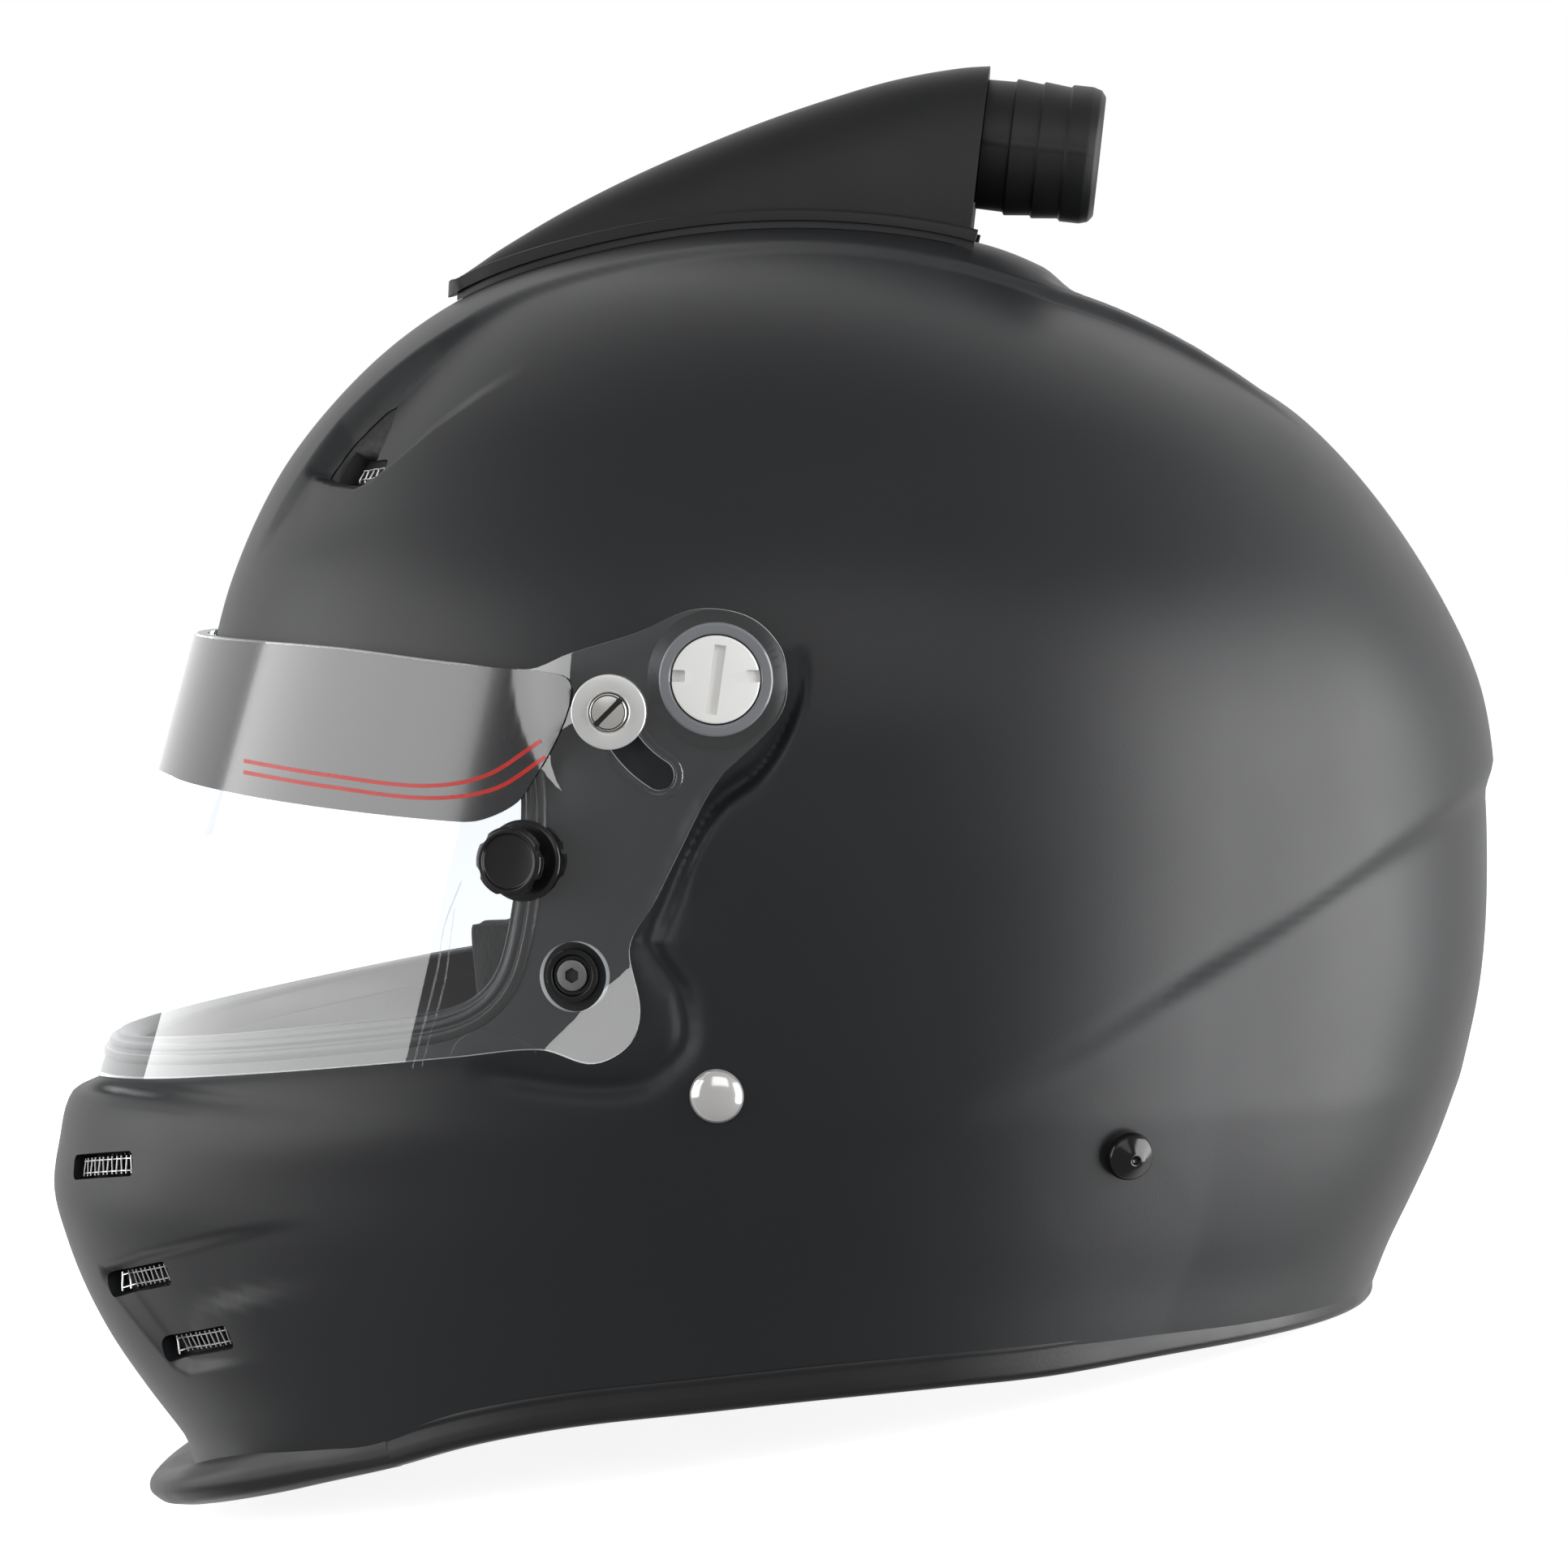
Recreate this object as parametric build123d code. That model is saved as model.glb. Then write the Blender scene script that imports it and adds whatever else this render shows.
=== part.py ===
from build123d import *
import math
import os

os.makedirs("parts", exist_ok=True)

# Auto racing helmet with a top air duct. Millimetres. The pieces are made in
# the attitude in which the helmet is worn: the wearer looks along -Y, the
# wearer's left is +X, and z = 0 is a level plane about 30 mm below the visor
# pivots. At the end every piece is tipped onto the helmet's resting points.

# Driving dimensions of the shell
crown_height = 131.5        # crown above the level plane
half_length = 169.0         # half of the shell's length, chin to rear
half_width = 123.2          # half of the shell's width
wall = 5.0                  # composite shell
overrun = 20.0              # how far cuts run past what they cut
running_gap = 0.3           # between pieces that move or seat on curved faces
running_fit = 0.08          # radial clearance of a turning pin
seat_gap = 0.1              # between pieces that are clamped or set into each other

# Sections of the shell at several heights, as shares of the crown height and,
# for the chin or brow, the rear and the widest place, of the half length. The
# fourth column is a share of the half width.
shell_section_shares = [
    (1.000, 0.030, 0.030, 0.000, 0.030),
    (0.962, -0.222, 0.275, 0.288, 0.030),
    (0.890, -0.405, 0.407, 0.479, 0.030),
    (0.803, -0.520, 0.546, 0.617, 0.045),
    (0.673, -0.627, 0.696, 0.751, 0.060),
    (0.543, -0.701, 0.797, 0.844, 0.075),
    (0.370, -0.762, 0.891, 0.942, 0.085),
    (0.196, -0.798, 0.956, 0.989, 0.090),
    (0.023, -0.834, 0.980, 1.000, 0.090),
    (-0.151, -0.872, 0.983, 1.000, 0.090),
    (-0.324, -0.908, 0.970, 0.994, 0.090),
    (-0.490, -0.946, 0.940, 0.981, 0.090),
    (-0.545, -0.990, 0.925, 0.972, 0.090),
    (-0.627, -1.007, 0.900, 0.958, 0.085),
    (-0.714, -1.015, 0.869, 0.942, 0.080),
    (-0.801, -0.998, 0.837, 0.925, 0.070),
    (-0.887, -0.972, 0.811, 0.909, 0.060),
    (-0.974, -0.936, 0.781, 0.893, 0.050),
    (-1.061, -0.889, 0.746, 0.877, 0.040),
    (-1.171, -0.823, 0.686, 0.852, 0.030),
    (-1.293, -0.757, 0.609, 0.820, 0.020),
    (-1.450, -0.690, 0.520, 0.780, 0.010),
]
crown_gap_share = 0.045     # the sections stop this far, in radians, short of the crown
form_levels = 40
loop_points = 48
visor_loop_points = 96
visor_levels = 36
visor_form_margin = 30.0    # the screen's form runs on past its outline
visor_form_depth_share = 0.66
tiny_turn = 1e-6
duct_wire_points = 24
probe_step = 0.01           # for reading a surface's slope
halvings = 40

# Visor: a wrap-around screen with a straight raked front line
visor_front_y = -137.0      # front of the screen at its top edge
visor_top_z = 36.3
visor_rake = math.tan(math.radians(15.3))
visor_half_width = 126.2
visor_widest_y = 15.0
visor_thickness = 2.5
visor_gap = 2.2             # between the screen and the recess in the shell
visor_opening = 42.0        # degrees, as long as the arc slots allow
pivot_y = -9.2
pivot_z = 30.1
ear_drop = 1.5              # the screen is drawn in at the pivots
ear_fall = 1.2              # and domed, so that it turns over itself
ear_radius = 27.0
ear_blend = 12.0

# Visor outline, seen from the side, as shares of the reach from the pivot to the front
visor_reach = 153.0
visor_outline_shares = [
    (-0.880, 0.041), (-0.580, 0.036), (-0.378, 0.018), (-0.270, 0.011), (-0.211, 0.034),
    (-0.118, 0.063), (-0.030, 0.098), (0.045, 0.088), (0.090, 0.045), (0.098, -0.020),
    (0.080, -0.075), (0.045, -0.120), (0.003, -0.172), (-0.037, -0.235), (-0.094, -0.338),
    (-0.123, -0.378), (-0.123, -0.396), (-0.107, -0.468), (-0.122, -0.514), (-0.175, -0.542),
    (-0.251, -0.527), (-0.375, -0.542), (-0.695, -0.585), (-0.901, -0.613), (-1.080, -0.630),
    (-1.080, 0.041),
]
strip_outline_shares = [
    (-1.080, 0.043), (-1.080, -0.167), (-0.865, -0.167), (-0.823, -0.173), (-0.616, -0.192),
    (-0.378, -0.207), (-0.336, -0.203), (-0.286, -0.178), (-0.263, -0.146), (-0.223, -0.077),
    (-0.204, -0.020), (-0.211, 0.001), (-0.250, 0.010), (-0.378, 0.016), (-0.580, 0.034),
    (-0.860, 0.039),
]
strip_thickness = 0.35
strip_lift = 0.06           # the film's glue
recess_outline_shares = [
    (-1.250, -0.640), (-0.901, -0.634), (-0.695, -0.606), (-0.375, -0.575), (-0.251, -0.590),
    (-0.166, -0.594), (-0.096, -0.580), (-0.038, -0.522), (-0.045, -0.442), (-0.090, -0.374),
    (-0.078, -0.339), (-0.003, -0.190), (0.065, -0.133), (0.116, -0.042), (0.125, 0.030),
    (0.110, 0.090), (0.060, 0.150), (-0.030, 0.160), (-0.200, 0.130), (-0.400, 0.100),
    (-1.250, 0.100),
]

# Eyeport: the hole in the shell, seen from the side, as shares of the same reach
eyeport_outline_shares = [
    (-1.250, -0.625), (-0.905, -0.598), (-0.490, -0.540), (-0.385, -0.520), (-0.325, -0.490),
    (-0.285, -0.440), (-0.265, -0.370), (-0.252, -0.280), (-0.245, -0.180), (-0.255, -0.110),
    (-0.285, -0.062), (-0.345, -0.040), (-0.600, -0.020), (-1.250, -0.010),
]
gasket_width = 6.0
gasket_inner_lap = 1.5      # how far the rubber stands inside the shell

# Lower rim: the line that the finished edge follows, rear of the chin lip
trim_height = 8.0
trim_lap = 2.0              # rubber below the shell's edge
trim_bulge = 1.3            # rubber outside and inside the shell
rim_line_shares = [
    (0.900, -0.893), (0.776, -0.900), (0.634, -0.909), (0.503, -0.916), (0.376, -0.928),
    (0.252, -0.938), (0.087, -0.957), (-0.079, -0.983), (-0.248, -1.014), (-0.379, -1.053),
    (-0.490, -1.103),
]
lip_line_shares = [
    (-0.490, -1.103), (-0.592, -1.158), (-0.722, -1.228), (-0.818, -1.302), (-0.846, -1.302),
    (-0.920, -1.290), (-1.100, -1.290),
]
lip_top_shares = [
    (-1.100, -1.150), (-0.850, -1.195), (-0.760, -1.172), (-0.690, -1.136), (-0.600, -1.085),
    (-0.490, -1.040),
]
# The flared lip's own sections: height and front, as shares
lip_flare_shares = [
    (-1.100, -0.873), (-1.170, -0.850), (-1.215, -0.857), (-1.238, -0.882), (-1.262, -0.889),
    (-1.282, -0.876), (-1.320, -0.820),
]
lip_hem_rise = 6.0          # the shell ends this far above the lip's lower line
rest_depth = 0.6            # the rim is cut flat where the helmet rests
rest_span = 281.0           # between the two resting places

# Liners
foam_thickness = 33.0
foam_bottom_z = -92.0
face_top_z = 34.0
face_rear_y = -44.0
comfort_thickness = 6.0
comfort_bottom_z = 18.0
chin_foam_thickness = 22.0
chin_foam_front_y = -76.0
chin_foam_top_z = -73.0
chin_foam_rise = 14.0
neck_roll_thickness = 26.0
neck_roll_height = 15.0
neck_roll_rise = 5.0
neck_roll_front_y = 4.0
pad_inner_x = 56.0
pad_crown = 9.0             # how far the cheek pad's face is drawn in at its edge
pad_reach = 51.0            # from the pad's middle to its edge
pad_shoulder_shares = [(0.0, 1.0), (0.25, 0.5), (1.0, 0.11)]
pad_outer_share = 0.7
pad_outline_shares = [
    (-0.44, -0.30), (-0.45, -0.52), (-0.36, -0.70), (-0.18, -0.765), (0.10, -0.765),
    (0.26, -0.72), (0.30, -0.50), (0.27, -0.25), (0.18, -0.12), (-0.04, -0.10), (-0.18, -0.13),
    (-0.24, -0.25),
]

# Top air duct, as stations along Y: place, top and half width in millimetres
duct_stations = [
    (-75.8, 118.9, 6.5), (-72.0, 121.3, 8.2), (-65.7, 125.4, 10.4), (-50.5, 134.1, 13.8),
    (-35.3, 141.7, 16.6), (-20.1, 148.4, 18.7), (-4.9, 154.5, 20.2), (10.3, 159.8, 21.2),
    (25.5, 164.3, 21.6), (40.7, 167.1, 21.7), (52.0, 167.8, 21.7),
]
duct_wall = 2.2
duct_root_depth = 14.0
duct_square_share = 0.72
duct_hollow_front_y = -50.0
seal_thickness = 2.0
seal_lap = 2.6
air_hole_front_y = -2.0
air_hole_rear_y = 34.0
air_hole_radius = 9.0

# Hose spigot
hose_bore_radius = 15.875   # a 1 1/4 inch hose slips over it
spigot_y = 46.0
spigot_z = 149.7
spigot_slope = 6.3
spigot_bore = 12.6
spigot_wall_hole = 13.8
neck_length = 6.7
barb_length = 6.4
barb_step = 0.8
end_barb_length = 7.8
end_land_length = 4.0
end_taper_share = 0.8
flange_radius = 15.0
flange_thickness = 1.5

# Pivot
disc_radius = 9.5
disc_thickness = 2.2
disc_proud = 1.2
coin_slot_length = 14.6
coin_slot_width = 2.2
coin_slot_depth = 1.2
notch_width = 2.5
ring_outer_radius = 12.3
ring_height = 0.8
hub_radius = 7.0
hub_plate_radius = 15.0
hub_plate_thickness = 1.2
hub_screw_radius = 2.5
hub_head_radius = 4.4
hub_head_height = 2.4
insert_radius = 3.5
insert_length = 2.2
thread_radius = 2.0

# Slot hardware
slot_radius = 24.1
slot_start = 16.9           # degrees below the forward horizontal
slot_width = 6.7
slot_bush_radius = 2.95
foot_depth = 1.1            # the bush stands on a flat sunk into the shell
foot_radius = 5.8
washer_radius = 8.1
washer_thickness = 1.4
slot_head_radius = 4.0
slot_head_height = 2.2
driver_slot_width = 1.1
driver_slot_depth = 1.0
driver_slot_turn = 45.0

# Latch post
latch_y = -40.5
latch_z = -34.5
latch_hole_radius = 7.6
latch_post_radius = 5.85
latch_recess_radius = 4.4
latch_recess_depth = 0.9
latch_head_radius = 3.4
latch_socket_radius = 1.7

# Tear-off post
tearoff_y = -51.5
tearoff_z = -9.6
tearoff_flange_radius = 8.9
tearoff_flange_thickness = 1.2
tearoff_barrel_radius = 3.4
tearoff_nut_radius = 5.2
tearoff_nut_thickness = 1.1
tearoff_pin_radius = 1.7
tearoff_stem_radius = 4.4
tearoff_cap_radius = 7.6
tearoff_cap_thickness = 2.4
tearoff_height = 8.5
tearoff_lobes = 6
tearoff_lobe_radius = 2.2
tearoff_lobe_share = 0.55    # how far the scallops' centres stand outside the cap

# Strap rivet and tether anchor
rivet_y = -9.3
rivet_z = -60.1
rivet_radius = 5.8
rivet_height = 2.2
rivet_sink_share = 0.4       # the dome's centre lies this far under the shell
rivet_shank = 2.4
hanger_width = 20.0
hanger_length = 30.0
hanger_thickness = 1.2
anchor_y = 79.6
anchor_z = -74.1
anchor_radius = 5.3
anchor_height = 4.0
anchor_tip_radius = 2.6
anchor_insert_radius = 4.5
anchor_thread_radius = 3.0

# Vents: places on the left side, in the side view, with their sizes
brow_vent = (-95.5, 77.0)
brow_vent_width = 15.0
brow_vent_height = 5.0
chin_vents = [(-152.2, -82.9), (-143.0, -108.0), (-128.7, -121.0)]
chin_vent_width = 22.0
chin_vent_height = 5.8
chin_vent_tilt = 6.0
mesh_thickness = 1.0
mesh_lap = 1.5
chin_mesh_clearance = 3.0
brow_mesh_clearance = 1.4
mesh_pitch = 1.5
mesh_hole = 1.05

# Chin strap
strap_width = 22.0
strap_thickness = 1.6
chin_point_y = -66.0
chin_point_z = -128.0
strap_bend_radius = 14.0
strap_depth = wall + 2.1    # from the shell's outside to the hanger plate's inner face
strap_tail = 12.0
tight_bend_share = 0.75
fold_share = 0.7            # the long strap folds over this far along the rings
strap_side_drop = 50.0
buckle_slope = math.radians(28.0)
buckle_drop = 55.0
buckle_inset = 24.0
ring_wire = 2.0
ring_length = 19.5
ring_width = 30.0
ring_spread = 2.4           # each ring's bar lies this far from the strap's middle line
ring_rise = 8.5             # the upper ring's bow stands up by this much
ring_shoulder_share = 0.78
ring_bow_share = 0.62
ring_corner_share = 1.6
snap_radius = 6.0
snap_height = 2.0
snap_shank = 1.5
snap_inset_share = 1.2
snap_base_share = 0.8


def latitude(z):
    """Angle down from the crown, continued at a steady rate below the level plane."""
    share = z / crown_height
    return math.acos(min(share, 1)) if share > 0 else math.pi / 2 - share


def height_at(angle):
    if angle < math.pi / 2:
        return crown_height * math.cos(angle)
    return crown_height * (math.pi / 2 - angle)


def smooth(points, at):
    """A smooth curve through points, read at one place; steady ends."""
    last = len(points) - 1
    for i in range(last):
        if at <= points[i + 1][0] or i == last - 1:
            break

    def slope(k):
        low, high = max(k - 1, 0), min(k + 1, last)
        return (points[high][1] - points[low][1]) / (points[high][0] - points[low][0])

    (x0, y0), (x1, y1) = points[i], points[i + 1]
    span = x1 - x0
    t = (at - x0) / span
    a, b = slope(i) * span, slope(i + 1) * span
    return (y0 * (1 + 2 * t) * (1 - t) ** 2 + a * t * (1 - t) ** 2
            + y1 * t ** 2 * (3 - 2 * t) - b * t ** 2 * (1 - t))


def column(number, scale):
    return [(latitude(row[0] * crown_height), row[number] * scale) for row in shell_section_shares]


fronts = column(1, half_length)
rears = column(2, half_length)
widths = column(3, half_width)
widest_places = column(4, half_length)


def section(z, grow=0):
    """Front, rear, half width and widest place of the shell at a height, grown outwards."""
    lean = max(0, z / crown_height)
    flat = grow * math.sqrt(1 - min(lean, 1) ** 2)
    angle = latitude(z)
    return (smooth(fronts, angle) - flat, smooth(rears, angle) + flat,
            smooth(widths, angle) + flat, smooth(widest_places, angle))


def loop(front, rear, width, widest, z):
    """A closed smooth loop of two half ellipses."""
    points = []
    for i in range(loop_points):
        turn = 2 * math.pi * i / loop_points
        reach = widest - front if math.cos(turn) > 0 else rear - widest
        points.append(Vector(width * math.sin(turn), widest - reach * math.cos(turn), z))
    steps = [i / loop_points for i in range(loop_points + 1)]
    return Wire([Edge.make_spline(points, periodic=True, parameters=steps)])


def helmet_form(grow=0):
    """The closed form of the shell's outside, grown by a distance."""
    lowest = latitude(shell_section_shares[-1][0] * crown_height)
    loops = []
    for k in range(form_levels + 1):
        angle = crown_gap_share + (lowest - crown_gap_share) * k / form_levels
        z = height_at(angle)
        lift = grow * max(0, z / crown_height)
        loops.append(loop(*section(z, grow), z + lift))
    return Solid.make_loft(loops)


def shell_x(y, z, grow=0):
    """Half width of the shell at a place in the side view."""
    front, rear, width, widest = section(z, grow)
    share = (widest - y) / (widest - front) if y < widest else (y - widest) / (rear - widest)
    return width * math.sqrt(max(0, 1 - share ** 2))


def visor_front(z, grow=0):
    return visor_front_y - (visor_top_z - z) * visor_rake - grow


def visor_x(y, z, grow=0):
    """Half width of the screen's outside, drawn in and domed about the pivot."""
    share = min(1, max(0, (visor_widest_y - y) / (visor_widest_y - visor_front(z, grow))))
    main = (visor_half_width + grow) * math.sqrt(1 - share ** 2)
    radius = math.hypot(y - pivot_y, z - pivot_z)
    dome = visor_half_width + grow - ear_drop - ear_fall * min(1, radius / ear_radius) ** 2
    t = min(1, max(0, (radius - ear_radius) / ear_blend))
    t = t * t * (3 - 2 * t)
    return dome + (main - dome) * t


def visor_loop(z, grow):
    front = visor_front(z, grow)
    rear = visor_widest_y + visor_half_width
    points = []
    for i in range(visor_loop_points):
        turn = 2 * math.pi * i / visor_loop_points
        if math.cos(turn) > 0:
            y = visor_widest_y - (visor_widest_y - front) * math.cos(turn)
            x = visor_x(y, z, grow) if math.sin(turn) ** 2 > 0 else 0
        else:
            y = visor_widest_y - (rear - visor_widest_y) * math.cos(turn)
            x = (visor_x(visor_widest_y, z, grow)) * abs(math.sin(turn))
        if abs(math.sin(turn)) < tiny_turn:
            x = 0
        points.append(Vector(math.copysign(x, math.sin(turn)), y, z))
    steps = [i / visor_loop_points for i in range(visor_loop_points + 1)]
    return Wire([Edge.make_spline(points, periodic=True, parameters=steps)])



def visor_form(grow=0):
    top = visor_top_z + visor_form_margin
    bottom = pivot_z - visor_reach * visor_form_depth_share
    step = (bottom - top) / visor_levels
    loops = [visor_loop(top + step * k, grow) for k in range(visor_levels + 1)]
    return Solid.make_loft(loops)


def side_face(points, x=0):
    return make_face(Plane.YZ.offset(x) * Polyline(*points, close=True))


def side_prism(points, x_from=None, x_to=None):
    """An outline in the side view, run across the helmet along X."""
    reach = half_width + overrun
    low = -reach if x_from is None else x_from
    high = reach if x_to is None else x_to
    return extrude(side_face(points, low), amount=high - low, dir=(1, 0, 0))


def from_pivot(shares):
    return [(pivot_y + y * visor_reach, pivot_z + z * visor_reach) for y, z in shares]


def from_datum(shares):
    return [(y * half_length, z * crown_height) for y, z in shares]


def outward_plane(x_of, y, z, grow=0):
    """A plane on a surface given by its half width, facing straight outwards."""
    x = x_of(y, z, grow)
    lean = (x_of(y + probe_step, z, grow) - x_of(y - probe_step, z, grow)) / (2 * probe_step)
    rise = (x_of(y, z + probe_step, grow) - x_of(y, z - probe_step, grow)) / (2 * probe_step)
    return Plane(origin=(x, y, z), z_dir=(1, -lean, -rise), x_dir=(lean, 1, 0))


def turned_plane(plane, angle):
    """The same plane, turned about its own normal."""
    x_dir = plane.x_dir.rotate(Axis((0, 0, 0), plane.z_dir), angle)
    return Plane(origin=plane.origin, x_dir=x_dir, z_dir=plane.z_dir)


def post(plane, radius, start, end):
    return plane * Pos(0, 0, start) * Cylinder(radius, end - start,
                                               align=(Align.CENTER, Align.CENTER, Align.MIN))


def across(y, z, x):
    """A plane facing outwards along X on the left side."""
    return Plane(origin=(x, y, z), z_dir=(1, 0, 0), x_dir=(0, 1, 0))


def both(piece):
    return [piece, mirror(piece, Plane.YZ)]


parts = {}


def keep(name, piece):
    parts[name] = piece


def keep_pair(name, piece):
    left, right = both(piece)
    parts[name + "_left"] = left
    parts[name + "_right"] = right


# Common forms
outside = helmet_form(0)
inside = helmet_form(-wall)
foam_outside = helmet_form(-wall - running_gap)
foam_inside = helmet_form(-wall - running_gap - foam_thickness)

far = half_length + overrun
deep = -far - overrun
rim_line = from_datum(rim_line_shares)
lip_line = from_datum(lip_line_shares)
shell_edge = ([(y, z + trim_lap) for y, z in rim_line]
              + [(y, z + lip_hem_rise) for y, z in lip_line[1:]])
below_shell = side_prism([(far, shell_edge[0][1])] + shell_edge
                         + [(-far, shell_edge[-1][1]), (-far, deep), (far, deep)])

# Outer shell
recess = side_prism(from_pivot(recess_outline_shares)) - visor_form(-visor_thickness - visor_gap)
eyeport = from_pivot(eyeport_outline_shares)
vent_planes = [turned_plane(outward_plane(shell_x, y, z), chin_vent_tilt) for y, z in chin_vents]
brow_plane = outward_plane(shell_x, *brow_vent)
washer_turn = math.radians(slot_start)
washer_y = pivot_y - slot_radius * math.cos(washer_turn)
washer_z = pivot_z - slot_radius * math.sin(washer_turn)
visor_pivot_x = visor_half_width - ear_drop
hub_x = visor_pivot_x - visor_thickness - visor_gap
washer_x = visor_x(pivot_y - slot_radius + washer_radius, pivot_z) + running_gap
foot_x = shell_x(washer_y, washer_z) - foot_depth
latch_plane = outward_plane(visor_x, latch_y, latch_z, -visor_thickness - visor_gap)
rivet_plane = outward_plane(shell_x, rivet_y, rivet_z)
anchor_plane = outward_plane(shell_x, anchor_y, anchor_z)


def vent_block(plane, width, height, inner, outer):
    return plane * Pos(0, 0, inner) * Box(width, height, outer - inner,
                                          align=(Align.CENTER, Align.CENTER, Align.MIN))


def slot_prism(z_from, z_to):
    """The obround air passage under the duct."""
    length = air_hole_rear_y - air_hole_front_y
    shape = SlotOverall(length, 2 * air_hole_radius, rotation=90)
    middle = Pos(0, (air_hole_front_y + air_hole_rear_y) / 2, z_from)
    return middle * extrude(shape, amount=z_to - z_from)


shell = outside - inside - below_shell - recess - side_prism(eyeport)
holes = [slot_prism(crown_height - overrun, crown_height + overrun)]
for plane in vent_planes:
    holes += both(vent_block(plane, chin_vent_width, chin_vent_height, -wall - overrun / 2, overrun))
holes += both(vent_block(brow_plane, brow_vent_width, brow_vent_height, -wall - overrun / 4, overrun))
holes += both(post(across(pivot_y, pivot_z, 0), insert_radius, half_width / 2, half_width + overrun))
holes += both(post(across(washer_y, washer_z, 0), insert_radius, half_width / 2, half_width + overrun))
holes += both(post(across(washer_y, washer_z, foot_x), foot_radius, 0, overrun))
holes += both(post(latch_plane, insert_radius, -overrun / 2, overrun))
holes += both(post(rivet_plane, rivet_shank + running_fit, -overrun / 2, overrun))
holes += both(post(anchor_plane, anchor_insert_radius, -overrun / 2, overrun))
shell = shell - holes
keep("outer_shell", shell)

# Vent meshes, woven wire pressed into flat panels
def mesh_panel(plane, width, height, depth):
    panel = vent_block(plane, width + 2 * mesh_lap, height + 2 * mesh_lap,
                       -depth - mesh_thickness, -depth)
    columns = int(width / mesh_pitch)
    rows = int(height / mesh_pitch)
    centre = -depth - mesh_thickness / 2
    spots = [Pos((i - (columns - 1) / 2) * mesh_pitch, (j - (rows - 1) / 2) * mesh_pitch, centre)
             for i in range(columns) for j in range(rows)]
    return panel - [plane * spot * Box(mesh_hole, mesh_hole, 2 * mesh_thickness) for spot in spots]


chin_meshes = []
for plane in vent_planes:
    chin_meshes += both(mesh_panel(plane, chin_vent_width, chin_vent_height, wall + chin_mesh_clearance))
keep("chin_vent_meshes", Compound(chin_meshes))
brow_panel = mesh_panel(brow_plane, brow_vent_width, brow_vent_height, wall + brow_mesh_clearance)
keep("brow_vent_meshes", Compound(both(brow_panel)))

# Eyeport gasket, a rubber channel round the edge of the opening
port_face = side_face(eyeport, -far)
port_inner = offset(port_face, -gasket_width)
port_ring = extrude(port_face - port_inner, amount=2 * far, dir=(1, 0, 0))
keep("eyeport_gasket", (outside - helmet_form(-wall - gasket_inner_lap)) & port_ring - recess)

# Edge trim and chin lip
rim_prism = side_prism([(y, z + trim_height) for y, z in reversed(rim_line)]
                       + [(rim_line[0][0] + overrun, rim_line[0][1] + trim_height),
                          (rim_line[0][0] + overrun, rim_line[0][1])] + rim_line)
shell_wall = outside - inside - below_shell
trim = (helmet_form(trim_bulge) - helmet_form(-wall - trim_bulge)) & rim_prism
keep("edge_trim", trim - shell_wall)

lip_loops = []
for z_share, front_share in lip_flare_shares:
    z = z_share * crown_height
    front, rear, width, widest = section(z, trim_bulge)
    lip_loops.append(loop(front_share * half_length, rear, width, widest, z))
lip_band = side_prism(from_datum(lip_top_shares) + lip_line)
lip = (Solid.make_loft(lip_loops) & lip_band) - inside
keep("chin_lip", lip - shell_wall)

# Crushable foam, chin bar foam and comfort liner
face_cut = side_prism([(-far, deep), (-far, face_top_z), (face_rear_y - overrun, face_top_z),
                       (face_rear_y, face_top_z - overrun), (face_rear_y, deep)])


def below(z):
    """Everything under a level plane."""
    return Pos(0, 0, z - 2 * half_length) * Box(4 * half_length, 4 * half_length, 4 * half_length)


floor_cut = below(foam_bottom_z)
pocket_top_z = rivet_z + hanger_length
pocket_rear_y = rivet_y + hanger_width
strap_pocket = side_prism([(chin_point_y, chin_point_z), (rivet_y - hanger_width, rivet_z + hanger_width),
                           (rivet_y - hanger_width, pocket_top_z), (pocket_rear_y, pocket_top_z),
                           (pocket_rear_y, rivet_z), (rivet_y, chin_point_z)])
strap_pocket = strap_pocket & (outside - helmet_form(-wall - running_gap - 4 * strap_thickness))
foam = foam_outside - foam_inside - face_cut - floor_cut - strap_pocket
foam = foam - slot_prism(0, crown_height)
brow_air = both(vent_block(brow_plane, brow_vent_width + 4 * mesh_lap, brow_vent_height + 4 * mesh_lap,
                           -wall - overrun / 4, overrun))
foam = foam - brow_air
keep("foam_liner", foam)

chin_foam = foam_outside - helmet_form(-wall - running_gap - chin_foam_thickness)
chin_box = side_prism([(-far, chin_foam_top_z), (chin_foam_front_y, chin_foam_top_z)]
                      + [(chin_foam_front_y, rim_line[-1][1] + chin_foam_rise)]
                      + [(y, z + chin_foam_rise) for y, z in lip_line[1:4]]
                      + [(-far, lip_line[3][1] + chin_foam_rise)])
chin_foam = chin_foam & chin_box
for plane in vent_planes:
    chin_foam = chin_foam - both(vent_block(plane, chin_vent_width, chin_vent_height,
                                            -wall - 2 * chin_foam_thickness, overrun))
    chin_foam = chin_foam - both(vent_block(plane, chin_vent_width + 4 * mesh_lap,
                                            chin_vent_height + 4 * mesh_lap,
                                            -wall - chin_mesh_clearance - 2 * mesh_thickness,
                                            overrun))
keep("chin_bar_foam", chin_foam)

comfort_gap = wall + 2 * running_gap + foam_thickness
comfort = helmet_form(-comfort_gap) - helmet_form(-comfort_gap - comfort_thickness)
comfort = comfort - below(comfort_bottom_z)
comfort = comfort - side_prism([(-far, 0), (-far, face_top_z), (face_rear_y - overrun, face_top_z),
                                (face_rear_y, face_top_z - overrun), (face_rear_y, 0)])
keep("comfort_liner", comfort - slot_prism(0, crown_height))

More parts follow.
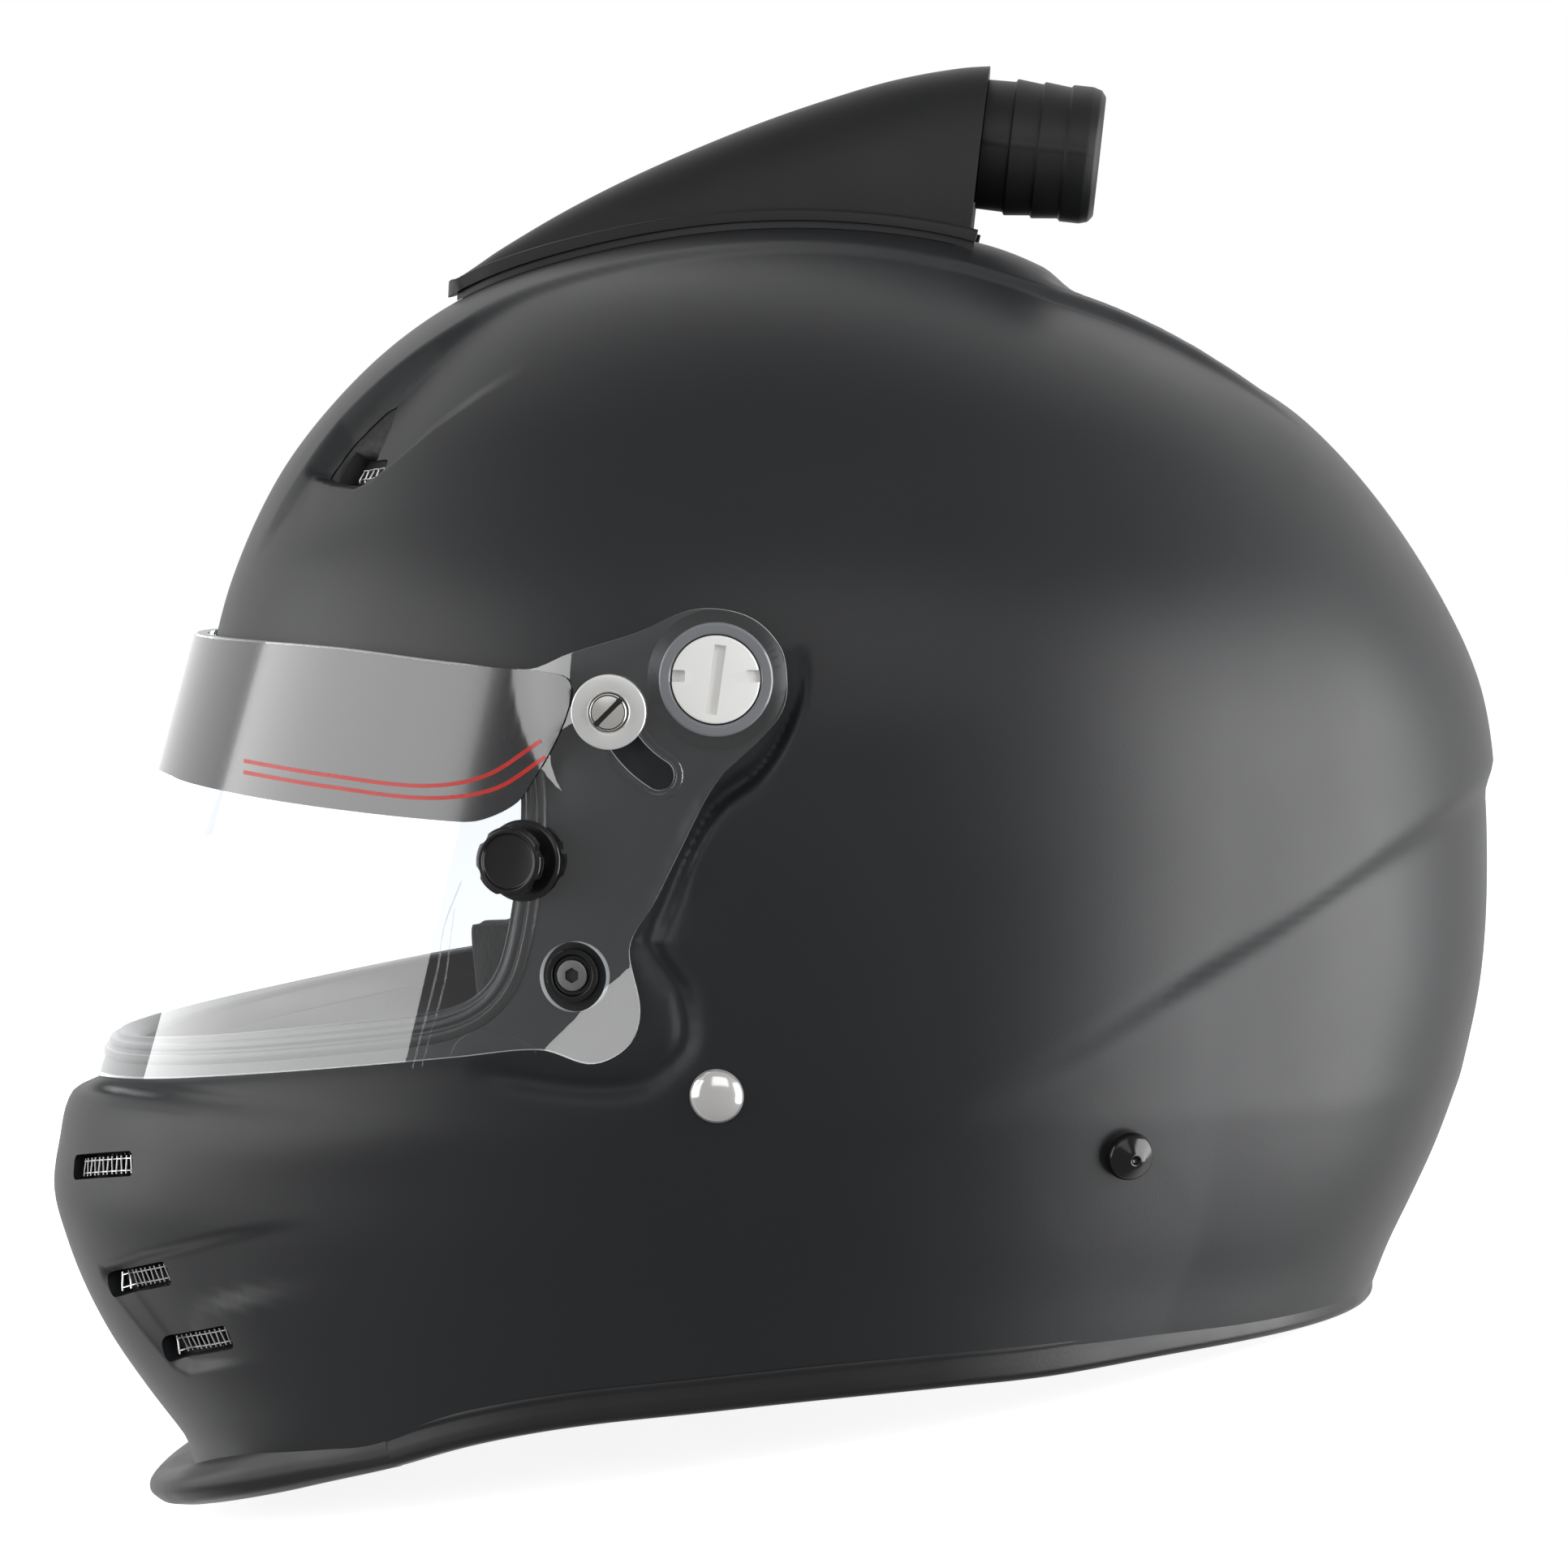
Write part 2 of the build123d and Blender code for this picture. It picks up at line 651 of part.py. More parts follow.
# Cheek pads and neck roll
pad_line = from_pivot(pad_outline_shares)
pad_middle_y = sum(y for y, z in pad_line) / len(pad_line)
pad_middle_z = sum(z for y, z in pad_line) / len(pad_line)


def pad_wire(x, drawn_in):
    keep_share = 1 - drawn_in / pad_reach
    points = [Vector(x, pad_middle_y + (y - pad_middle_y) * keep_share,
                     pad_middle_z + (z - pad_middle_z) * keep_share) for y, z in pad_line]
    return Wire([Edge.make_spline(points, periodic=True)])


pad_wires = [pad_wire(pad_inner_x + pad_crown * across_share, pad_crown * in_share)
             for across_share, in_share in pad_shoulder_shares]
pad_form = Solid.make_loft(pad_wires + [pad_wire(half_width * pad_outer_share, 0)])
keep_pair("cheek_pad", pad_form & helmet_form(-comfort_gap))

roll = helmet_form(-wall - trim_bulge - running_gap) - helmet_form(-wall - neck_roll_thickness)
roll_line = [(y, z) for y, z in rim_line if y > 0]
roll_front = (neck_roll_front_y, smooth([(y, z) for y, z in reversed(rim_line)], neck_roll_front_y))
roll_line = [(far, roll_line[0][1])] + roll_line + [roll_front]
roll_top = [(y, z + neck_roll_rise + neck_roll_height) for y, z in reversed(roll_line)]
keep("neck_roll", roll & side_prism([(y, z + neck_roll_rise) for y, z in roll_line] + roll_top))

# Top duct, its seal and screws
def duct_wire(y, top, width, shrink):
    root = height_over_crown(y) - duct_root_depth
    points = []
    for i in range(duct_wire_points + 1):
        turn = math.pi * i / duct_wire_points
        x = math.copysign(abs(math.cos(turn)) ** duct_square_share, math.cos(turn)) * (width - shrink)
        points.append(Vector(x, y, root + (top - shrink - root) * math.sin(turn) ** duct_square_share))
    return Wire([Edge.make_spline(points), Edge.make_line(points[-1], points[0])])


def height_over_crown(y):
    """Height of the shell's middle line at a place along the top."""
    low, high = 0, crown_height
    for _ in range(halvings):
        z = (low + high) / 2
        front, rear, width, widest = section(z)
        if front < y < rear:
            low = z
        else:
            high = z
    return low


spigot_fall = math.tan(math.radians(spigot_slope))
spigot_plane = Plane(origin=(0, spigot_y, spigot_z), z_dir=(0, 1, -spigot_fall), x_dir=(1, 0, 0))
behind_duct = post(spigot_plane, 2 * half_width, 0, 2 * half_width)
duct_form = Solid.make_loft([duct_wire(y, top, width, 0) for y, top, width in duct_stations]) - behind_duct
hollow_stations = [s for s in duct_stations if s[0] >= duct_hollow_front_y]
hollow_stations = [(duct_hollow_front_y, duct_stations[3][1], duct_stations[3][2])] + hollow_stations
hollow = Solid.make_loft([duct_wire(y, top, width, duct_wall) for y, top, width in hollow_stations])
hollow = hollow - post(spigot_plane, 2 * half_width, -duct_wall, 2 * half_width)
seat_form = helmet_form(seal_thickness)
duct = duct_form - hollow - seat_form - post(spigot_plane, spigot_wall_hole, -overrun / 2, overrun)
seal_wires = [duct_wire(y, top, width, -seal_lap) for y, top, width in duct_stations]
seal_form = Solid.make_loft(seal_wires) - post(spigot_plane, 2 * half_width, seal_lap, 2 * half_width)
seal = (seal_form & (seat_form - outside)) - slot_prism(0, crown_height + overrun)

# Hose spigot with stepped barbs, on an axis that slopes down to the rear
rings = [(spigot_bore, -duct_wall - flange_thickness), (flange_radius, -duct_wall - flange_thickness),
         (flange_radius, -duct_wall - seat_gap),
         (spigot_wall_hole - seat_gap, -duct_wall - seat_gap),
         (spigot_wall_hole - seat_gap, seat_gap),
         (hose_bore_radius - barb_step, seat_gap)]
reach = neck_length
rings += [(hose_bore_radius - 2 * barb_step / 3, reach)]
for k in range(2):
    rings += [(hose_bore_radius, reach), (hose_bore_radius - barb_step, reach + barb_length)]
    reach += barb_length
rings += [(hose_bore_radius, reach), (hose_bore_radius, reach + end_land_length),
          (hose_bore_radius - barb_step, reach + end_barb_length * end_taper_share),
          (hose_bore_radius - 2 * barb_step, reach + end_barb_length),
          (spigot_bore, reach + end_barb_length)]
profile = make_face(Plane.XZ * Polyline(*rings, close=True))
spigot = revolve(profile, Axis.Z)
spigot_land_from = reach
keep("hose_spigot", spigot_plane.location * spigot)

keep("duct_body", duct)
keep("duct_seal", seal)

# Visor with its arc slots, pivot rings and post holes
screen = (visor_form(0) - visor_form(-visor_thickness)) & side_prism(from_pivot(visor_outline_shares))


def ring(plane, outer, inner, start, end):
    return post(plane, outer, start, end) - post(plane, inner, start - overrun, end + overrun)


def arc_slot(radius, width, from_turn, to_turn, x_from, x_to):
    """A curved slot about the pivot, angles in degrees below the forward horizontal."""
    plane = Plane(origin=(x_from, pivot_y, pivot_z), x_dir=(0, -1, 0), z_dir=(1, 0, 0))
    path = CenterArc((0, 0), radius, 0, to_turn - from_turn)
    shape = SlotArc(path, width)
    turn = -to_turn if (plane.y_dir.Z > 0) else from_turn
    return plane * Rot(0, 0, turn) * extrude(shape, amount=x_to - x_from)


pivot_plane = across(pivot_y, pivot_z, visor_pivot_x)
ring_bore = disc_radius + running_gap
rims = both(ring(pivot_plane, ring_outer_radius, ring_bore, -visor_thickness / 2, ring_height))
cuts = both(post(pivot_plane, ring_bore, -overrun / 2, overrun))
slot_end = slot_start + visor_opening
cuts += both(arc_slot(slot_radius, slot_width, slot_start, slot_end, half_width / 2, half_width + overrun))
latch_hole_plane = outward_plane(visor_x, latch_y, latch_z)
cuts += both(post(latch_hole_plane, latch_hole_radius, -overrun / 2, overrun / 2))
tearoff_plane = outward_plane(visor_x, tearoff_y, tearoff_z)
barrel_hole = tearoff_barrel_radius + running_fit
cuts += both(post(tearoff_plane, barrel_hole, -overrun / 4, overrun / 2))
screen = screen + rims - cuts
keep("visor", screen)

film = visor_form(strip_lift + strip_thickness) - visor_form(strip_lift)
strip = film & side_prism(from_pivot(strip_outline_shares))
ring_cuts = both(post(pivot_plane, ring_outer_radius + running_gap, -overrun / 2, overrun))
keep("tint_strip", strip - ring_cuts)

# Pivot: hub plate, screw and insert, with the coin-slot disc over them
hub_plane = across(pivot_y, pivot_z, hub_x)
disc_base = visor_thickness + visor_gap + disc_proud - disc_thickness
hub = post(hub_plane, hub_plate_radius, seat_gap, seat_gap + hub_plate_thickness)
hub = hub + post(hub_plane, hub_radius, seat_gap, disc_base - seat_gap)
hub = hub - post(hub_plane, hub_screw_radius, -overrun, overrun)
hub_head_base = disc_base - running_gap - hub_head_height
hub = hub - post(hub_plane, hub_head_radius + seat_gap, hub_head_base, overrun)
keep_pair("pivot_hub", hub)
hub_screw = post(hub_plane, hub_head_radius, hub_head_base, hub_head_base + hub_head_height)
hub_screw = hub_screw + post(hub_plane, thread_radius, -insert_length, hub_head_base)
socket = hub_plane * Pos(0, 0, hub_head_base + hub_head_height / 2) * extrude(
    RegularPolygon(latch_socket_radius, 6), amount=hub_head_height)
keep_pair("pivot_screw", hub_screw - socket)

disc = post(hub_plane, disc_radius, disc_base, disc_base + disc_thickness)
coin_slot = Box(coin_slot_length, coin_slot_width, 2 * coin_slot_depth)
disc = disc - hub_plane * Pos(0, 0, disc_base + disc_thickness) * coin_slot
for end in (-1, 1):
    notch = Pos(end * disc_radius, 0, disc_base + disc_thickness) * Box(
        notch_width, notch_width, 2 * coin_slot_depth)
    disc = disc - hub_plane * notch
keep_pair("pivot_disc", disc)

# Threaded inserts in the shell for the pivot, slot and latch screws
foot_plane = across(washer_y, washer_z, foot_x)
inserts = [ring(hub_plane, insert_radius, thread_radius, -insert_length, 0)]
inserts.append(ring(foot_plane, insert_radius, thread_radius, -insert_length, 0))
inserts.append(ring(latch_plane, insert_radius, thread_radius, -insert_length, 0))
keep("shell_inserts", Compound([side for insert in inserts for side in both(insert)]))

# Slot hardware: spacer bush, washer and slotted screw
washer_base = washer_x - foot_x
keep_pair("slot_bush", ring(foot_plane, slot_bush_radius, thread_radius, 0, washer_base))
keep_pair("slot_washer", ring(foot_plane, washer_radius, thread_radius, washer_base,
                              washer_base + washer_thickness))
head_base = washer_base + washer_thickness
slot_screw = post(foot_plane, slot_head_radius, head_base, head_base + slot_head_height)
slot_screw = slot_screw + post(foot_plane, thread_radius, -insert_length, head_base)
driver_slot = Rot(0, 0, driver_slot_turn) * Box(3 * slot_head_radius, driver_slot_width,
                                                2 * driver_slot_depth)
slot_screw = slot_screw - foot_plane * Pos(0, 0, head_base + slot_head_height) * driver_slot
keep_pair("slot_screw", slot_screw)

# Latch post: the screen's hole drops over it
latch_top = visor_gap - running_gap
latch_post = post(latch_plane, latch_post_radius, running_gap / 2, latch_top)
latch_post = latch_post - post(latch_plane, latch_recess_radius, latch_top - latch_recess_depth, overrun)
latch_post = latch_post - post(latch_plane, thread_radius, -overrun, overrun)
keep_pair("latch_post", latch_post)
latch_head_base = latch_top - latch_recess_depth
latch_screw = post(latch_plane, latch_head_radius, latch_head_base, latch_top)
latch_screw = latch_screw + post(latch_plane, thread_radius, -insert_length, latch_head_base)
latch_socket = latch_plane * Pos(0, 0, latch_head_base + latch_recess_depth / 3) * extrude(
    RegularPolygon(latch_socket_radius, 6), amount=latch_recess_depth)
keep_pair("latch_screw", latch_screw - latch_socket)

# Tear-off post: flanged base through the screen, nut behind it, turning cap
bore = tearoff_pin_radius + running_fit
base = post(tearoff_plane, tearoff_flange_radius, seat_gap, tearoff_flange_thickness)
nut_base = -visor_thickness - running_gap - tearoff_nut_thickness
base = base + post(tearoff_plane, tearoff_barrel_radius, nut_base, 2 * running_gap)
base = base - post(tearoff_plane, bore, -overrun, overrun)
keep_pair("tearoff_base", base)
nut = tearoff_plane * Pos(0, 0, nut_base) * extrude(RegularPolygon(tearoff_nut_radius, 6),
                                                    amount=tearoff_nut_thickness)
keep_pair("tearoff_nut", nut - post(tearoff_plane, tearoff_barrel_radius, -overrun, overrun))
stem_base = tearoff_flange_thickness + running_gap
cap_base = tearoff_height - tearoff_cap_thickness
knob = post(tearoff_plane, tearoff_stem_radius, stem_base, cap_base)
knob = knob + post(tearoff_plane, tearoff_pin_radius, nut_base + running_gap, stem_base)
cap = post(tearoff_plane, tearoff_cap_radius, cap_base, tearoff_height)
for k in range(tearoff_lobes):
    turn = 2 * math.pi * k / tearoff_lobes
    out = tearoff_cap_radius + tearoff_lobe_radius * tearoff_lobe_share
    cap = cap - tearoff_plane * Pos(out * math.cos(turn), out * math.sin(turn), tearoff_height) * Cylinder(
        tearoff_lobe_radius, 3 * tearoff_cap_thickness)
keep_pair("tearoff_post", knob + cap)

# Chin strap rivets and hanger plates
rivet_sink = rivet_radius * rivet_sink_share
rivet_head = rivet_plane * Pos(0, 0, -rivet_sink) * Sphere(math.hypot(rivet_radius, rivet_sink))
rivet_head = rivet_head & post(rivet_plane, rivet_radius, running_gap, rivet_height * 4)
rivet = rivet_head + post(rivet_plane, rivet_shank, -strap_depth - strap_thickness, 2 * running_gap)
keep_pair("strap_rivet", rivet)

# Tether anchors: a plug screwed into a threaded insert
keep_pair("anchor_insert", ring(anchor_plane, anchor_insert_radius, anchor_thread_radius,
                                -wall + 2 * running_gap, -running_gap))
plug = Cone(anchor_radius, anchor_tip_radius, anchor_height, align=(Align.CENTER, Align.CENTER, Align.MIN))
plug = anchor_plane * Pos(0, 0, running_gap) * plug
plug = plug + post(anchor_plane, anchor_thread_radius, -wall + 2 * running_gap, 2 * running_gap)
keep_pair("anchor_plug", plug)

# Chin strap, laid out in the slanted plane that holds both rivets and the chin
fall = Vector(0, chin_point_y - rivet_y, chin_point_z - rivet_z)
strap_reach = fall.length
fall = fall.normalized()
strap_plane = Plane(origin=(0, rivet_y, rivet_z), x_dir=(1, 0, 0), z_dir=(0, -fall.Z, fall.Y))


def strap_side_x(along):
    """Where the webbing lies behind the shell, at a distance down from the rivet."""
    y, z = rivet_y + fall.Y * along, rivet_z + fall.Z * along
    return shell_x(y, z, -strap_depth) - strap_thickness


# The buckle's own directions: s runs down along the slanted stretch, t away from the chin
ring_s = Vector(-math.cos(buckle_slope), math.sin(buckle_slope))
ring_t = Vector(math.sin(buckle_slope), math.cos(buckle_slope))
ring_start = Vector(strap_side_x(buckle_drop) - buckle_inset,
                    buckle_drop + buckle_inset * math.tan(buckle_slope))


def at_buckle(s, t):
    point = ring_start + ring_s * s + ring_t * t
    return (point.X, point.Y)


def webbing(points, radii):
    line = FilletPolyline(*points, radius=radii)
    face = strap_plane.offset(-strap_width / 2) * trace(line, line_width=strap_thickness)
    band = extrude(face, amount=strap_width, dir=strap_plane.z_dir)
    return band


side_line = [(strap_side_x(d), d) for d in (-strap_tail, strap_side_drop / 2, strap_side_drop)]
loop_t = ring_spread + ring_wire + running_gap + strap_thickness / 2
loop_s = ring_wire + running_gap + strap_thickness / 2
layer = strap_thickness / 2 + running_gap / 2
short_line = side_line + [at_buckle(-4 * ring_spread - strap_tail, layer),
                          at_buckle(-3 * ring_spread, layer),
                          at_buckle(-ring_spread, loop_t), at_buckle(loop_s, loop_t),
                          at_buckle(loop_s, -loop_t), at_buckle(-ring_spread, -loop_t),
                          at_buckle(-3 * ring_spread, -layer),
                          at_buckle(-4 * ring_spread - strap_tail / 2, -layer)]
tight = strap_thickness * tight_bend_share
short = webbing(short_line, [strap_bend_radius, strap_bend_radius, strap_bend_radius, strap_thickness,
                             strap_thickness, tight, tight, strap_thickness, strap_thickness])

near_t = -loop_t
under_t = near_t - strap_thickness - running_gap
over_t = ring_rise + ring_wire + 2 * running_gap + strap_thickness / 2
turn_s = ring_length + ring_wire + running_gap + strap_thickness / 2
up_s = ring_length / 3
down_s = ring_length * fold_share
tail_end_s = ring_length + 2 * snap_radius + 5 * strap_thickness
bottom_d = strap_reach - strap_thickness
far_side = [(-x, d) for x, d in side_line]
long_line = far_side + [(-strap_reach / 2, bottom_d - strap_thickness), (0, bottom_d)]
long_line += [at_buckle(tail_end_s, under_t), at_buckle(down_s, under_t), at_buckle(up_s, near_t / 2),
              at_buckle(up_s, over_t - strap_thickness), at_buckle(down_s, over_t),
              at_buckle(turn_s, over_t), at_buckle(turn_s, ring_rise - loop_s),
              at_buckle(down_s, ring_rise / 2), at_buckle(down_s, near_t), at_buckle(tail_end_s, near_t)]
long = webbing(long_line, [strap_bend_radius] * 5 + [tight] * (len(long_line) - 7))

# Press snap that holds the strap's end down
snap_centre = at_buckle(tail_end_s - snap_inset_share * snap_radius, near_t)
snap_plane_out = strap_plane.from_local_coords(Vector(ring_t.X, ring_t.Y, 0)) - strap_plane.origin
snap_along = strap_plane.from_local_coords(Vector(ring_s.X, ring_s.Y, 0)) - strap_plane.origin
snap_plane = Plane(origin=strap_plane.from_local_coords(Vector(*snap_centre, 0)),
                   z_dir=snap_plane_out, x_dir=snap_along)
snap_under = near_t - under_t + strap_thickness / 2 + running_gap / 2
snap_over = strap_thickness / 2 + running_gap / 2
snap_hole = post(snap_plane, snap_shank + running_fit, -overrun, overrun)
snap_cap = post(snap_plane, snap_radius, snap_over, snap_over + snap_height)
snap_cap = snap_cap + post(snap_plane, snap_shank, -snap_under, snap_over)
snap_base = post(snap_plane, snap_radius * snap_base_share, -snap_under - snap_height / 2, -snap_under)
keep("strap_snap", Compound([snap_cap, snap_base]))

shank_hole = post(rivet_plane, rivet_shank + running_fit, -overrun, overrun)
keep("chin_strap_short", short - shank_hole)
keep("chin_strap_long", long - mirror(shank_hole, Plane.YZ) - snap_hole)
hanger = vent_block(rivet_plane, hanger_width, hanger_length, -strap_depth, -strap_depth + hanger_thickness)
keep_pair("strap_hanger", hanger - shank_hole)


def d_ring(bar_t, rise):
    """A D of round wire: a straight bar at s = 0 and a bow that reaches the ring's length."""
    ahead = ring_s * ring_length
    if rise:
        ahead = (ring_s * math.sqrt(ring_length ** 2 - rise ** 2) + ring_t * rise)
    along = strap_plane.from_local_coords(Vector(ahead.X, ahead.Y, 0)) - strap_plane.origin
    start = strap_plane.from_local_coords(Vector(*at_buckle(0, bar_t), 0))
    plane = Plane(origin=start, x_dir=strap_plane.z_dir, z_dir=strap_plane.z_dir.cross(along))
    half = ring_width / 2
    shoulder = ring_length * ring_shoulder_share
    bow = half * ring_bow_share
    outline = [(-half, 0), (half, 0), (half, shoulder), (bow, ring_length), (-bow, ring_length),
               (-half, shoulder)]
    path = FilletPolyline(*outline, radius=ring_wire * ring_corner_share, close=True)
    wire = Plane(origin=(0, 0, 0), x_dir=(0, 1, 0), z_dir=(1, 0, 0)) * Circle(ring_wire)
    return plane * sweep(wire, path=path)


keep("d_ring_upper", d_ring(ring_spread, ring_rise - ring_spread))
keep("d_ring_lower", d_ring(-ring_spread, 0))

# Tip everything onto the resting points: the chin lip's edge and the rear of the trim
rear_z = rim_line[0][1]
lip_low = min(lip_line, key=lambda point: point[1])
tilt = math.degrees(math.atan2(rear_z - lip_low[1], section(rear_z, trim_bulge)[1] - lip_low[0]))
for _ in range(2):
    tip = Rot(-tilt, 0, 0)
    boxes = [(tip * parts[name]).bounding_box() for name in ("chin_lip", "edge_trim")]
    tilt += math.degrees(math.atan2(boxes[1].min.Z - boxes[0].min.Z, rest_span))
everything = Compound([tip * piece for piece in parts.values()]).bounding_box()
base_z = max(box.min.Z for box in boxes) + rest_depth
place = Pos(0, -(everything.min.Y + everything.max.Y) / 2, -base_z) * tip
floor = below(0)
print("tilt", round(tilt, 3), "move", round(place.position.Y, 3), round(place.position.Z, 3))

for name, piece in parts.items():
    piece = place * piece
    if name in ("chin_lip", "edge_trim"):
        piece = piece - floor
    export_step(piece, "parts/" + name + ".step")


def placed(point):
    spot = (place * Location(tuple(point))).position
    return [round(value / 1000, 6) for value in spot]


def turned(direction):
    spot = (tip * Location(tuple(direction))).position
    return [round(value, 6) for value in spot]


print("visor pivot", placed((0, pivot_y, pivot_z)))
print("left disc", placed((visor_pivot_x, pivot_y, pivot_z)))
print("left tear-off", placed(tearoff_plane.origin), turned(tearoff_plane.z_dir))
print("spigot start", placed(spigot_plane.origin), turned(spigot_plane.z_dir))
land = spigot_plane.origin + spigot_plane.z_dir * (spigot_land_from + end_land_length / 2)
print("spigot land", placed(land))
print("left anchor", placed(anchor_plane.origin), turned(anchor_plane.z_dir))
print("latch", placed(latch_plane.origin), turned(latch_plane.z_dir))
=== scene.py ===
# %% [markdown]
# A full-face racing helmet is a hard shell with a hinged clear screen, rubber
# edges, an air duct on top and soft pads inside. The CAD model is loaded first
# as a fixed frame, and every piece made here is fitted to it.

# %% Load the frame
import math
import bmesh
import bpy
import numpy as np
from mathutils import Matrix, Vector


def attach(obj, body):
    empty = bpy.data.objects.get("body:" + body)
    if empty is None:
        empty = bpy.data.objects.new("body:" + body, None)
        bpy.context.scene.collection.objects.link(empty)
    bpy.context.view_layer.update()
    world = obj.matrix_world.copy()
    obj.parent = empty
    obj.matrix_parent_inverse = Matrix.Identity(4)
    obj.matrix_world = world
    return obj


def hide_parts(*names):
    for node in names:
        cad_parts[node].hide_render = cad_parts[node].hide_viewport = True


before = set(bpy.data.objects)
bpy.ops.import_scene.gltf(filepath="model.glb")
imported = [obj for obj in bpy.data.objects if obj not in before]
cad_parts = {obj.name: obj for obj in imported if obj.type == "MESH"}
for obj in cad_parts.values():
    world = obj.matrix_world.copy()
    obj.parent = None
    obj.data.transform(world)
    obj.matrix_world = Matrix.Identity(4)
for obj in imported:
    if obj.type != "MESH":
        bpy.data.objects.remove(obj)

bpy.context.view_layer.update()

# %% [markdown]
# The pieces are modelled in millimetres, in the attitude in which the helmet is
# worn, because that is how the photograph shows it. One matrix then tips them
# onto the two places on which the helmet rests, and turns millimetres into
# metres.

# %% From the worn attitude to the resting one
millimetre, rest_shift, rest_height = 0.001, 0.011157, 0.141379
rest_tilt = math.radians(-10.902)
tip = Matrix.Rotation(rest_tilt, 4, "X")
worn = Matrix.Translation((0, rest_shift, rest_height)) @ tip @ Matrix.Scale(millimetre, 4)
print("tilted by", round(math.degrees(rest_tilt), 2), "degrees")

# %% [markdown]
# The shell's form is a stack of level loops. Each row below gives a height as a
# share of the crown height, then the front, rear, half width and widest place.
# A table like this is easier to match to a side view than a sculpted ball, and
# the liners and edges can read the same form at another depth.

# %% The shell's form
crown_height, half_length, half_width, wall = 131.5, 169.0, 123.2, 5.0
shell_sections = np.array([
    (1.000, 0.030, 0.030, 0.000, 0.030), (0.962, -0.222, 0.275, 0.288, 0.030),
    (0.890, -0.405, 0.407, 0.479, 0.030), (0.803, -0.520, 0.546, 0.617, 0.045),
    (0.673, -0.627, 0.696, 0.751, 0.060), (0.543, -0.701, 0.797, 0.844, 0.075),
    (0.370, -0.762, 0.891, 0.942, 0.085), (0.196, -0.798, 0.956, 0.989, 0.090),
    (0.023, -0.834, 0.980, 1.000, 0.090), (-0.151, -0.872, 0.983, 1.000, 0.090),
    (-0.324, -0.908, 0.970, 0.994, 0.090), (-0.490, -0.946, 0.940, 0.981, 0.090),
    (-0.545, -0.990, 0.925, 0.972, 0.090), (-0.627, -1.007, 0.900, 0.958, 0.085),
    (-0.714, -1.015, 0.869, 0.942, 0.080), (-0.801, -0.998, 0.837, 0.925, 0.070),
    (-0.887, -0.972, 0.811, 0.909, 0.060), (-0.974, -0.936, 0.781, 0.893, 0.050),
    (-1.061, -0.889, 0.746, 0.877, 0.040), (-1.171, -0.823, 0.686, 0.852, 0.030),
    (-1.293, -0.757, 0.609, 0.820, 0.020), (-1.450, -0.690, 0.520, 0.780, 0.010)])


def latitude(z):
    """Angle down from the crown, continued at a steady rate below the level plane."""
    share = z / crown_height
    return np.where(share > 0, np.arccos(np.clip(share, -1, 1)), math.pi / 2 - share)


def smooth(xs, ys, at):
    """A smooth curve through points, read at many places."""
    i = np.clip(np.searchsorted(xs, at) - 1, 0, len(xs) - 2)
    low, high = np.maximum(np.arange(len(xs)) - 1, 0), np.minimum(np.arange(len(xs)) + 1, len(xs) - 1)
    slope = (ys[high] - ys[low]) / (xs[high] - xs[low])
    span = xs[i + 1] - xs[i]
    t = (at - xs[i]) / span
    return (ys[i] * (1 + 2 * t) * (1 - t) ** 2 + slope[i] * span * t * (1 - t) ** 2
            + ys[i + 1] * t ** 2 * (3 - 2 * t) - slope[i + 1] * span * t ** 2 * (1 - t))


section_angles = latitude(shell_sections[:, 0] * crown_height)
lowest_angle = section_angles[-1]
section_scales = (0, half_length, half_length, half_width, half_length)


def section(z, grow=0.0):
    """Front, rear, half width and widest place of the form at a height, grown outwards."""
    angle = latitude(z)
    front, rear, width, widest = (
        smooth(section_angles, shell_sections[:, k] * section_scales[k], angle) for k in (1, 2, 3, 4))
    flat = grow * np.sqrt(1 - np.clip(z / crown_height, 0, 1) ** 2)
    return front - flat, rear + flat, width + flat, widest


def on_form(turn, z, grow=0.0):
    """Points on the form: turn is 0 at the chin and a quarter turn at the left ear."""
    front, rear, width, widest = section(z, grow)
    reach = np.where(np.cos(turn) > 0, widest - front, rear - widest)
    lift = grow * np.maximum(0, z / crown_height)
    return np.stack([width * np.sin(turn), widest - reach * np.cos(turn), z + lift], -1)


def form_x(y, z, grow=0.0):
    """Half width of the form at a place in the side view."""
    front, rear, width, widest = section(np.asarray(z, float), grow)
    share = np.where(y < widest, (widest - y) / (widest - front), (y - widest) / (rear - widest))
    return width * np.sqrt(np.maximum(0, 1 - share ** 2))


print("half width at the ears", round(float(form_x(0.0, 30.0)), 1))

# %% [markdown]
# The screen has a form of its own: a straight raked front that wraps back to the
# ears as half an ellipse, drawn in and slightly domed round each pivot so that
# it can turn over itself.

# %% The screen's form
visor_front_y, visor_top_z, visor_rake = -137.0, 36.3, math.tan(math.radians(15.3))
visor_half_width, visor_widest_y, visor_thickness, visor_gap = 126.2, 15.0, 2.5, 2.2
pivot_y, pivot_z, visor_reach = -9.2, 30.1, 153.0
ear_drop, ear_fall, ear_radius, ear_blend = 1.5, 1.2, 27.0, 17.0


def soft_step(value):
    value = np.clip(value, 0, 1)
    return value * value * (3 - 2 * value)


def screen_front(z, grow=0.0):
    return visor_front_y - (visor_top_z - z) * visor_rake - grow


